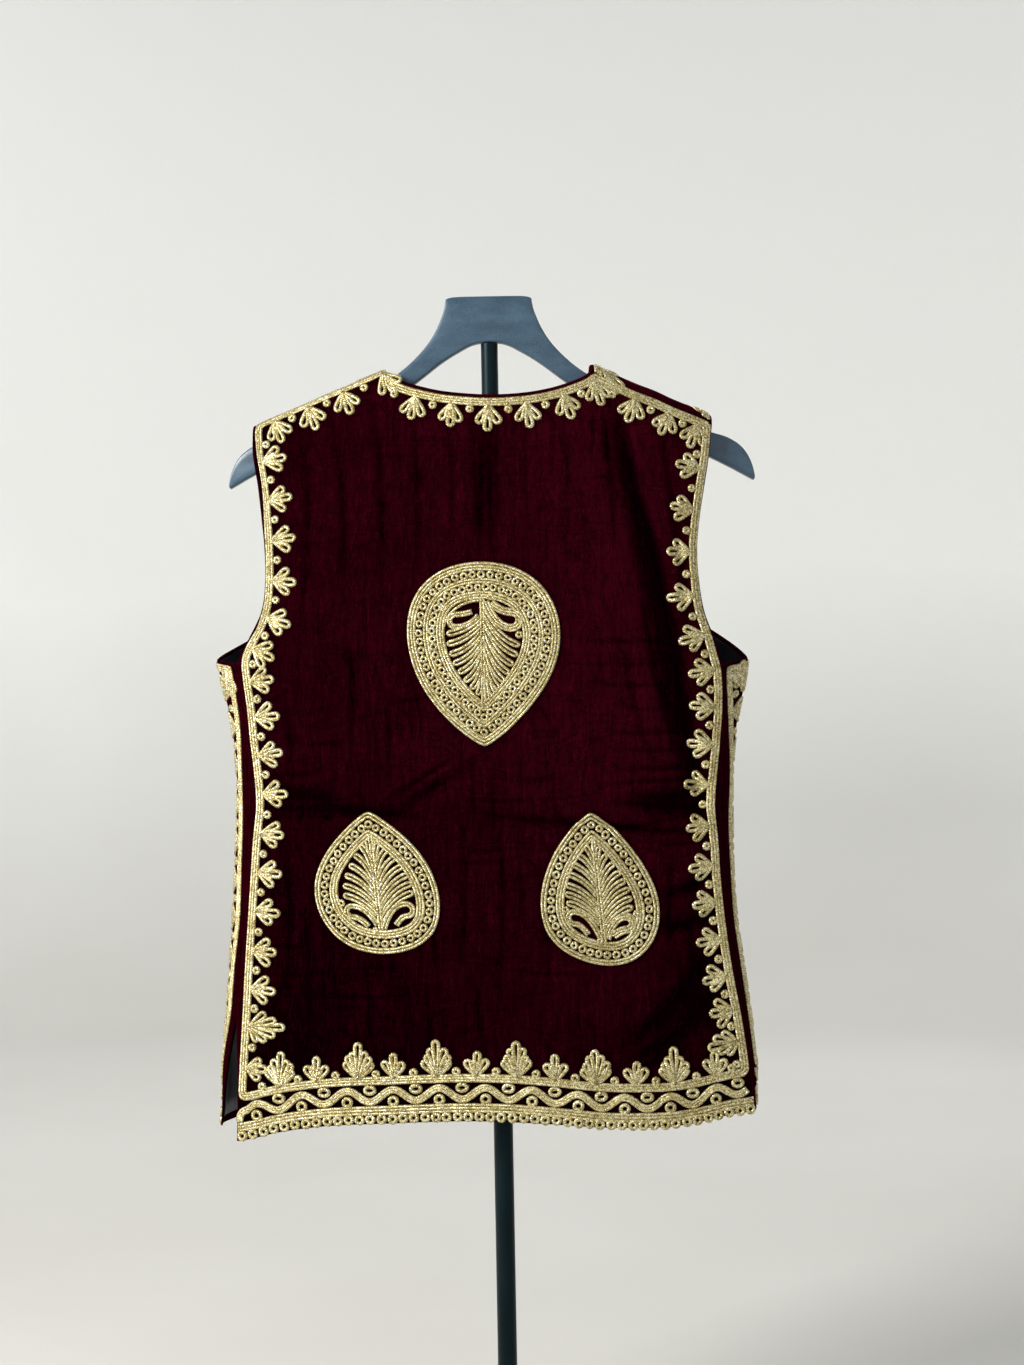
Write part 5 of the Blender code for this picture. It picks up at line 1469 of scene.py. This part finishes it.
# the wave rises from the lower band at its start
WAVE_START = ((2.6, 16.0), (3.2, 21.5), (6.4, 25.5))
UNDER_CREST_LIFT = 18.2
OVER_TROUGH_LIFT = 27.6


def hem_paths(hem, edge, first, last, crest, large, small, rings):
    """Cords of one hem: hem(u) is its bands' base and edge(u) its cut edge, first to last its width."""
    paths = []

    def along_hem(u, lift):
        """Places at a height above the hem's base."""
        return np.stack([u, hem(u) + lift], axis=1)

    across = np.arange(first + 1.6, last - 1.5, 1.5)
    for lift in LOWER_BAND_LIFTS:
        paths.append((along_hem(across, np.full(len(across), lift)), False, BAND_STEP))
    count = int((last - first - 8) // RING_ROW_PITCH)
    for u in np.linspace(first + 5.0, last - 5.0, count + 1):
        low = 0.6 * float(hem(u)) + 0.4 * float(edge(u)) + RING_ROW_LIFT
        centre = (u + UNEVEN.uniform(-0.4, 0.4), low + UNEVEN.uniform(-0.3, 0.3))
        paths.append(ring(centre, 2.95, UNEVEN.uniform(60, 120)))
    wave_u = np.arange(first + 9.0, last - 7.0, 1.0)
    swing = WAVE_HEIGHT * np.cos(2 * math.pi * (wave_u - crest) / WAVE_PERIOD)
    wave = along_hem(wave_u, WAVE_LIFT + swing)
    start = [(first + aside, hem(first) + lift) for aside, lift in WAVE_START]
    wave = evened(resample(np.vstack([start, wave]), 1.0), False, 3)
    _, above = directions(wave, 1)
    paths += [(wave + above * offset, False, 1.5) for offset in WAVE_STRANDS]
    first_crest = crest - WAVE_PERIOD * math.floor((crest - first) / WAVE_PERIOD)
    for u in np.arange(first_crest, last - 10, WAVE_PERIOD):
        if u > first + 6:
            paths.append(ring((u, float(hem(u)) + UNDER_CREST_LIFT), 3.4, -90))
    for u in np.arange(first_crest - WAVE_PERIOD / 2, last - 14, WAVE_PERIOD):
        if u > first + 14:
            paths.append(ring((0.0, 0.0), 1.0, 90) * (4.3, 2.9) + (u, float(hem(u)) + OVER_TROUGH_LIFT))
    band_edge = UPPER_BAND_LIFT + BAND_EDGE
    for places, petals in ((large, HEM_PALMETTE), (small, HEM_SMALL_PALMETTE)):
        for u in places:
            paths += palmette((u, float(hem(u)) + band_edge - PALMETTE_SINK), (0, 1), (1, 0), vary(petals))
    for u in rings:
        centre = (u, float(hem(u)) + band_edge + RING_AWAY)
        paths.append(ring(centre, UNEVEN.uniform(2.1, 2.4), UNEVEN.uniform(0, 360)))
    return paths


LARGE_HEM_PALMETTES = [-183.4 + 65.2 * k for k in range(6)]
SMALL_HEM_PALMETTES = (-153.2, -88.7, -20.7, 44.1, 110.4, 176.6)
HEM_RINGS = (-199, -168.5, -137, -103.5, -72.6, -37.5, -4.7, 28, 60, 92.5, 126.5, 160.5, 190)


paths = hem_paths(back_hem_base, back_hem, -221.0, 210.5, -165.7, LARGE_HEM_PALMETTES,
                  SMALL_HEM_PALMETTES, HEM_RINGS)
hem_back = couch("hem_back_cords", CLOTH["back"], paths)
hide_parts("hem_band_back")

# %% [markdown]
# ## Leaf medallions
#
# Three leaves stand on the back: one hangs with its tip down between the shoulders, two stand with their
# tips up near the hem.  From outside in, the upper one has three cords, a row of rings, two cords, a
# second row of rings and three cords more; the lower ones have two cords, one row of rings and three
# cords.  Inside, double cords leave a middle vein like the fingers of a fern.

# %% Sizes of the medallions
MEDALLIONS = {
    "medallion_upper": {"x": -9.2, "z": 730.0, "width": 127.5, "height": 153.0, "tip": -1.0, "lean": 0.0},
    "medallion_left": {"x": -101.2, "z": 542.6, "width": 104.6, "height": 117.4, "tip": 1.0, "lean": 0.1},
    "medallion_right": {"x": 82.4, "z": 533.9, "width": 98.0, "height": 127.5, "tip": 1.0, "lean": 0.09},
}
# distances of the cords and of the ring rows from the outline, and the rings' pitch
EDGE_CORDS = {
    "medallion_upper": ((1.4, 4.0, 6.3, 14.6, 17.0, 25.3, 27.6, 29.9), ((10.5, 7.3), (21.1, 6.6))),
    "medallion_left": ((1.4, 4.0, 13.8, 16.2, 18.6), ((8.9, 7.1),)),
    "medallion_right": ((1.4, 4.0, 13.8, 16.2, 18.6), ((8.9, 7.3),)),
}
LEAF_ROUNDNESS = 0.62
UNEVEN_OUTLINE = 0.9


def medallion_line(sizes):
    """Closed outline of a leaf, as map places, a little uneven as a hand-drawn one is."""
    t = np.linspace(0, 2 * math.pi, 241)[:-1]
    across = np.sin(t) * np.sin(t / 2) ** LEAF_ROUNDNESS
    across *= sizes["width"] / 2 / across.max()
    up = sizes["height"] / 2 * np.cos(t) * sizes["tip"]
    wobble = np.sin(3 * t + sizes["x"]) + 0.6 * np.sin(5 * t + sizes["z"])
    wobble = UNEVEN_OUTLINE * wobble * np.sin(t / 2)
    grow = 1 + wobble / np.maximum(np.hypot(across, up), 1.0)
    return np.stack([sizes["x"] + across * grow - sizes["lean"] * up, sizes["z"] + up * grow], axis=1)


# %% Vein, fronds and curls inside each leaf
# millimetres from the leaf's middle, across and towards its wide end; a frond is side of the vein,
# where it starts on the vein, and its tip
FRONDS = {
    "medallion_upper": (
        (-1, 30, -29.5, 17.0), (-1, 24, -29.5, 8.5), (-1, 17.5, -27.6, 0.0), (-1, 11, -24.6, -7.6),
        (-1, 4, -20.6, -14.8), (-1, -3, -15.6, -21.8), (-1, -10.5, -10.4, -28.0), (-1, -18, -5.0, -33.0),
        (1, 35, 30.0, 6.5), (1, 28, 28.2, -1.4), (1, 21, 24.6, -9.0), (1, 14, 21.2, -16.0),
        (1, 7, 17.0, -22.6), (1, -1, 12.6, -28.6), (1, -9, 8.0, -33.4), (1, -17, 3.0, -37.4)),
    "medallion_left": (
        (-1, 27, -28.0, 10.0), (-1, 20, -27.2, 2.0), (-1, 13, -24.8, -6.4), (-1, 5, -20.4, -14.6),
        (-1, -3, -15.2, -23.0), (-1, -12, -9.4, -31.0), (-1, -21, -3.4, -36.0),
        (1, 31, 30.4, 8.2), (1, 24, 30.2, 0.6), (1, 17, 28.0, -6.6), (1, 9, 24.2, -13.6),
        (1, 1, 18.6, -20.6), (1, -8, 12.6, -27.4), (1, -17, 6.0, -34.0)),
    "medallion_right": (
        (-1, 29, -27.4, 10.4), (-1, 22, -28.0, 3.0), (-1, 15, -26.6, -4.4), (-1, 6, -24.4, -13.4),
        (-1, -3, -20.0, -21.2), (-1, -12, -14.2, -28.4), (-1, -22, -7.4, -35.6),
        (1, 34, 26.6, 15.4), (1, 27, 26.6, 8.0), (1, 20, 25.4, 0.6), (1, 13, 23.0, -6.6),
        (1, 6, 19.6, -13.6), (1, -3, 15.0, -20.8), (1, -12, 9.6, -27.8), (1, -22, 4.0, -34.4)),
}
FROND_HALF_WIDTH = (1.2, 1.8)
# each curl is a hook: side of the vein, where it starts on the vein, how far out and how low it
# reaches, radius of its loop, and where it ends; then how far to its sides its cords lie
CURLS = {
    "medallion_upper": (((-1, 31, 28.5, 21.5, 6.2, 9, 36), (-2.3, 0.0)),
                        ((1, 43, 30.5, 21, 6.5, 7, 42), (-2.2, 0.0, 2.2))),
    "medallion_left": (((-1, 35, 27, 19, 4.5, 10, 36), (-1.2, 1.2)),
                       ((1, 38, 28, 17.5, 5, 13, 35), (-1.2, 1.2))),
    "medallion_right": (((-1, 41, 27.5, 18, 5, 12.5, 37), (-1.2, 1.2)),
                        ((1, 41, 25.5, 23, 5.5, 8, 39), (-2.2, 0.0, 2.2))),
}
# a single cord that bends round outside a curl, as a quarter of an ellipse
OUTER_CORDS = {"medallion_upper": ((-1, 44, 33, 17),), "medallion_left": (), "medallion_right": ()}
LEAF_RINGS = {
    "medallion_upper": ((29.8, 15.2), (7.0, 47.0), (-31.5, 38.0)),
    "medallion_left": ((-30.6, 16.6), (-4.6, 39.4)),
    "medallion_right": ((-29.0, 16.0), (29.4, 21.0), (-3.4, 43.0)),
}
VEIN = (-1.2, 1.2)


def curl(side, start_z, reach, low, radius, end_x, end_z):
    """A hook of cord: out from the vein, round a loop and back inwards."""
    middle = reach - radius
    high = low + 2 * radius
    out = bent((2.5, start_z), (0.45 * middle, low), (middle, low), 16)
    angle = np.linspace(-math.pi / 2, math.pi / 2, 14)[1:-1]
    loop = np.stack([middle + radius * np.cos(angle), low + radius + radius * np.sin(angle)], axis=1)
    home = bent((middle, high), ((middle + end_x) / 2, high), (end_x, end_z), 16)
    return resample(np.vstack([out, loop, home]) * (side, 1), 1.0)


def outer_cord(side, start_z, reach, low):
    """A quarter of an ellipse from the vein's wide end round to the side."""
    angle = np.linspace(0, math.pi / 2, 24)
    x = 2 + (reach - 2) * np.sin(angle)
    return resample(np.stack([side * x, low + (start_z - low) * np.cos(angle)], axis=1), 1.0)


def frond(side, start_z, tip_x, tip_z):
    """A double cord from the vein, round its tip and back to the vein."""
    t = np.linspace(0, 1, 26)[:, None]
    start = np.array([side * 1.4, start_z])
    tip = np.array([tip_x, tip_z])
    bend = np.array([start[0] + 0.4 * (tip[0] - start[0]), start[1] + 0.82 * (tip[1] - start[1])])
    middle = bent(start, bend, tip, len(t))
    _, above = directions(middle, 1)
    half = FROND_HALF_WIDTH[0] + (FROND_HALF_WIDTH[1] - FROND_HALF_WIDTH[0]) * t
    round_end = np.sqrt(np.clip((1 - t) / 0.06, 0, 1))
    upper, lower = middle + above * half * round_end, middle - above * half * round_end
    return resample(np.vstack([upper, lower[::-1]]), 1.3)


def leaf_inside(name, sizes, reach):
    """Vein, fronds, curls and rings of one leaf, as map paths; the vein reaches this far both ways."""
    paths = [frond(*one) for one in FRONDS[name]]
    paths += [outer_cord(*one) for one in OUTER_CORDS[name]]
    for sizes_of_one, offsets in CURLS[name]:
        line = curl(*sizes_of_one)
        _, above = directions(line, 1)
        paths += [line + above * offset for offset in offsets]
    paths += [np.array([(x, z) for z in np.linspace(1.5 - reach, reach - 1.5, 50)]) for x in VEIN]
    paths += [ring(centre, 2.1, 40 * k) for k, centre in enumerate(LEAF_RINGS[name])]
    placed = []
    for path in paths:
        up = -path[:, 1] * sizes["tip"]
        placed.append(np.stack([sizes["x"] + path[:, 0] - sizes["lean"] * up, sizes["z"] + up], axis=1))
    return placed


# %% Couch the three leaves
for name, sizes in MEDALLIONS.items():
    line = medallion_line(sizes)
    after = np.roll(line, -1, axis=0)
    turn = 1 if np.sum(line[:, 0] * after[:, 1] - after[:, 0] * line[:, 1]) > 0 else -1
    cords, ring_rows = EDGE_CORDS[name]
    paths = [(drawn_in(line, offset, turn, True), True, 1.6) for offset in cords]
    for offset, pitch in ring_rows:
        for centre in resample(drawn_in(line, offset, turn, True), pitch, True):
            nudge = UNEVEN.uniform(-0.35, 0.35, 2)
            paths.append(ring(centre + nudge, UNEVEN.uniform(2.3, 2.6), UNEVEN.uniform(0, 360)))
    paths += leaf_inside(name, sizes, sizes["height"] / 2 - cords[-1])
    leaf = couch(name + "_cords", CLOTH["back"], paths, 2.6, 1.6, 1.5, 2.6)
    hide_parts(name)

# %% [markdown]
# ## The fronts' border
#
# Such a vest is embroidered as one set, so both fronts carry the back's border: the same band beside the
# armhole, the side seam, the front edge and the neck, with the same palmettes, and the same waving hem.


# %% Borders and hems of the fronts
def front_border_line(side):
    """Outer line of the gold band on a front: down from the neck, along the hem and up to the shoulder."""
    lift = UPPER_BAND_LIFT - EDGE_MARGIN
    corner = float(OUTLINES[side][0][10, 1])
    low = float(OUTLINES[side][0][-1, 1]) + lift
    z = np.arange(low, corner - 1.0, 2.0)
    seam_line = np.stack([side_length(side, z) - SIDE_STRIP + EDGE_MARGIN, z], axis=1)
    armhole = np.stack(front_shape(side, np.zeros(160), np.linspace(9.9, 0.0, 160) / LAST_ROW), axis=1)
    edge = np.stack(front_shape(side, np.ones(300), np.linspace(0.0, 19.5, 300) / LAST_ROW), axis=1)
    edge = edge[edge[:, 1] > float(OUTLINES[side][1][-1, 1]) + lift]
    p = np.arange(FRONT_GAP, seam_line[0, 0], 3.0)
    hem = np.stack([p, hem_height(side, p) + lift], axis=1)
    line = resample(np.vstack([edge, hem, seam_line, armhole]), 1.0, False)
    line = drawn_in(line, EDGE_MARGIN, 1)
    for corner in (seam_line[0], hem[0]):
        line = rounded(line, corner, 9.0, 30)
    return line


def stations(line, turn, low, pitch):
    """Places every pitch along the part of the line that lies above low, as base points with directions."""
    inwards = directions(line, turn)[1]
    above = np.flatnonzero(line[:, 1] > low)
    return [standing_place(line, inwards, np.clip(np.arange(k - 4, k + 5), 0, len(line) - 1))
            for k in above[int(pitch / 2)::int(pitch)]]


for side in SIDES:
    part = "front_" + side
    line = front_border_line(side)
    paths = [(drawn_in(line, strand, 1), False, 2.8) for strand in BAND_STRANDS]
    places = stations(line, 1, float(OUTLINES[side][0][-1, 1]) + 74, 16.0)
    for k, (base, inward, sideways) in enumerate(places):
        if k % 2:
            paths.append(ring(base + inward * RING_AWAY, 2.2, UNEVEN.uniform(0, 360)))
        else:
            paths += palmette(base - inward * PALMETTE_SINK, inward, sideways, vary(SMALL_PALMETTE))
    border = couch("border_" + part + "_cords", CLOTH[part], paths, step=1.8)
    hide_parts("border_" + part)
    width = float(side_length(side, 350.0))
    large = np.linspace(34, width - 46, 4)
    small = (large[1:] + large[:-1]) / 2
    rings = np.sort(np.concatenate([(large[1:] + small) / 2, (large[:-1] + small) / 2]))
    front_hem = partial(hem_height, side)
    paths = hem_paths(front_hem, front_hem, FRONT_GAP, width, 30.0, large, small, rings)
    hem = couch("hem_" + part + "_cords", CLOTH[part], paths, step=1.8)
    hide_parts("hem_band_" + part)

# %% [markdown]
# ## Painted shade round the stitches
#
# Close to the gold the velvet gets painted shade.  The lattice of each map has noted where its cords
# lie: that note is spread out by a few millimetres and added to the mesh attribute of painted shade,
# which the velvet reads.  The plain strips beside the side seams get painted shade too.

# %% Paint shade round the stitches
for part, piece in vest.items():
    cloth = CLOTH[part]
    near = cloth["stitches"]
    for _ in range(6):
        near = softened(near)
    u, h = GRID_PLACES[piece.name]
    near = bilinear(near[..., None], (h - cloth["h"][0]) / LATTICE_STEP, (u - cloth["u"][0]) / LATTICE_STEP)
    values = piece.data.attributes["painted_pile_shade"].data
    depth = np.zeros(len(values))
    values.foreach_get("value", depth)
    # painted shade close to the cords
    depth = depth + PAINTED_STITCH_SHADE * np.clip(near[..., 0] * 2.0, 0, 1)
    # painted shade on the plain strips beside the side seams, below the armholes
    if part == "back":
        strip = (u < read(BACK_LEFT, "gold", h) - 0.8) | (u > read(BACK_RIGHT, "gold", h) + 0.8)
    else:
        strip = u > side_length(part[6:], h) - SIDE_STRIP
    depth += PAINTED_STRIP_SHADE * (strip & (h < 725))
    values.foreach_set("value", depth)
    print(part, "deepest painted shade:", round(float(np.max(depth)), 1))

# %% [markdown]
# ## The stand
#
# The tubes, the base and the head already have their true shapes.  Each gets a copy whose triangles are
# merged and joined to quads again, so that round faces shade smoothly and only real edges stay sharp.
# The head is moulded with soft lines: its long edges are creased and a Subdivision Surface rounds the
# rest.

# %% The stand's parts, smoothed
EDGE_CREASE = 0.62
SHARP_EDGE = 0.55


def smoothed_copy(node_name, name, finish_material):
    """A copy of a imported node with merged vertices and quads, sharp only where its faces really turn."""
    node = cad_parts[node_name]
    copy = bmesh.new()
    copy.from_mesh(node.data)
    bmesh.ops.transform(copy, matrix=node.matrix_world, verts=copy.verts[:])
    bmesh.ops.remove_doubles(copy, verts=copy.verts[:], dist=0.00002)
    bmesh.ops.join_triangles(copy, faces=copy.faces[:], angle_face_threshold=0.7, angle_shape_threshold=3.1)
    creases = copy.edges.layers.float.new("crease_edge")
    for edge in copy.edges:
        if len(edge.link_faces) == 2 and edge.calc_face_angle() > SHARP_EDGE:
            edge[creases] = EDGE_CREASE
            edge.smooth = False
    mesh = bpy.data.meshes.new(name)
    copy.to_mesh(mesh)
    copy.free()
    made = make_object(name, mesh, finish_material)
    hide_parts(node_name)
    print(name, "has", len(mesh.polygons), "faces and is finished in", finish_material.name)
    return made


head = smoothed_copy("hanger_head", "hanger_head_lacquered", lacquer)
for edge in head.data.edges:
    edge.use_edge_sharp = False
rounding = head.modifiers.new("rounding", "SUBSURF")
rounding.levels = rounding.render_levels = 2
for node_name in ("pole_upper", "pole_lower", "stand_base"):
    smoothed_copy(node_name, node_name + "_enamelled", enamel)

# %% [markdown]
# ## What the cloth pieces are
#
# Each velvet panel's flat size and its area are listed, and the names of the cords on it are gathered.
# The cuts aren't rectangles: the armholes, the neck and the sloped shoulders take their share, so each
# has its own area too.

CUTS = {
    "back": ((0.446, 0.650), 0.2526),
    "front_left": ((0.290, 0.640), 0.136),
    "front_right": ((0.275, 0.640), 0.130),
}
for part, (flat, area) in CUTS.items():
    on_it = ["border_" + part + "_cords", "hem_" + part + "_cords"]
    if part == "back":
        on_it += [name + "_cords" for name in MEDALLIONS] + ["neck_binding"]

# %% [markdown]
# ## Studio
#
# A round sweep of pale board surrounds the stand: the floor turns up into a wall on every side, so the
# background stays plain from wherever the vest is looked at.  One soft light stands at the left in front
# of the embroidered back and a weak one fills the right.  Two more light the vest and the wall from behind.

# %% Sweep and lights
board, tree, shader = new_material("matt painted board")
patches = noise(tree, (600.0, 600.0, 600.0), 2.0)
# painted shade: darker low down towards the floor and lighter up the wall, with faint random patches
shade = weighted_sum(tree, (object_place(tree)["Z"], 0.55), (patches, 0.15))
dress(tree, shader, ramp(tree, shade, (0.05, linear("C9C8C4")), (0.6, linear("F7F8F7"))),
      noise(tree, (3.0, 3.0, 3.0), 2.0), 0.05, 0.0005, Roughness=0.9, Specular_IOR_Level=0.1)

SWEEP_RADIUS = 3.4
SWEEP_BEND = 0.9
SWEEP_HEIGHT = 3.2
profile = [(0.0, 0.0), (SWEEP_RADIUS - SWEEP_BEND, 0.0)]
profile += [(SWEEP_RADIUS - SWEEP_BEND + SWEEP_BEND * math.sin(a), SWEEP_BEND * (1 - math.cos(a)))
            for a in np.linspace(0, math.pi / 2, 13)[1:]]
profile.append((SWEEP_RADIUS, SWEEP_HEIGHT))
wall = bmesh.new()
corners = [wall.verts.new((x, 0.0, z)) for x, z in profile]
edges = [wall.edges.new(pair) for pair in zip(corners, corners[1:])]
bmesh.ops.spin(wall, geom=corners + edges, cent=(0, 0, 0), axis=(0, 0, 1), dvec=(0, 0, 0),
               angle=2 * math.pi, steps=96, use_merge=True, use_duplicate=False)
bmesh.ops.remove_doubles(wall, verts=wall.verts[:], dist=0.0001)
bmesh.ops.recalc_face_normals(wall, faces=wall.faces[:])
mesh = bpy.data.meshes.new("studio_sweep")
wall.to_mesh(mesh)
wall.free()
mesh.materials.append(board)
mesh.polygons.foreach_set("use_smooth", [True] * len(mesh.polygons))
studio_sweep = bpy.data.objects.new("studio_sweep", mesh)
bpy.context.scene.collection.objects.link(studio_sweep)

LIGHTS = (
    ("key_light", (-2.0, -1.35, 1.65), (0, 0, 0.65), 0.8, 100.0, "FFFDF8"),
    ("fill_light", (1.6, -2.4, 1.2), (0, 0, 0.65), 1.8, 1.5, "F4F8FF"),
    ("back_light", (0.6, 2.2, 2.0), (0, 0, 0.65), 1.8, 26.0, "FFFFFF"),
    ("wall_light", (-2.0, 1.3, 2.4), (-1.8, 3.3, 1.0), 1.2, 9.0, "FFFFFF"),
)
for name, location, aim, size, watts, colour in LIGHTS:
    data = bpy.data.lights.new(name, "AREA")
    data.size = size
    data.energy = watts
    data.color = linear(colour)[:3]
    light = bpy.data.objects.new(name, data)
    light.location = location
    light.rotation_euler = (Vector(aim) - Vector(location)).to_track_quat("-Z", "Y").to_euler()
    bpy.context.scene.collection.objects.link(light)
world = bpy.data.worlds.new("studio")
world.use_nodes = True
world.node_tree.nodes["Background"].inputs["Color"].default_value = linear("F2F4F7")
world.node_tree.nodes["Background"].inputs["Strength"].default_value = 0.26
bpy.context.scene.world = world
bpy.context.scene.view_settings.view_transform = "Standard"
print("studio ready:", len(LIGHTS), "soft lights")
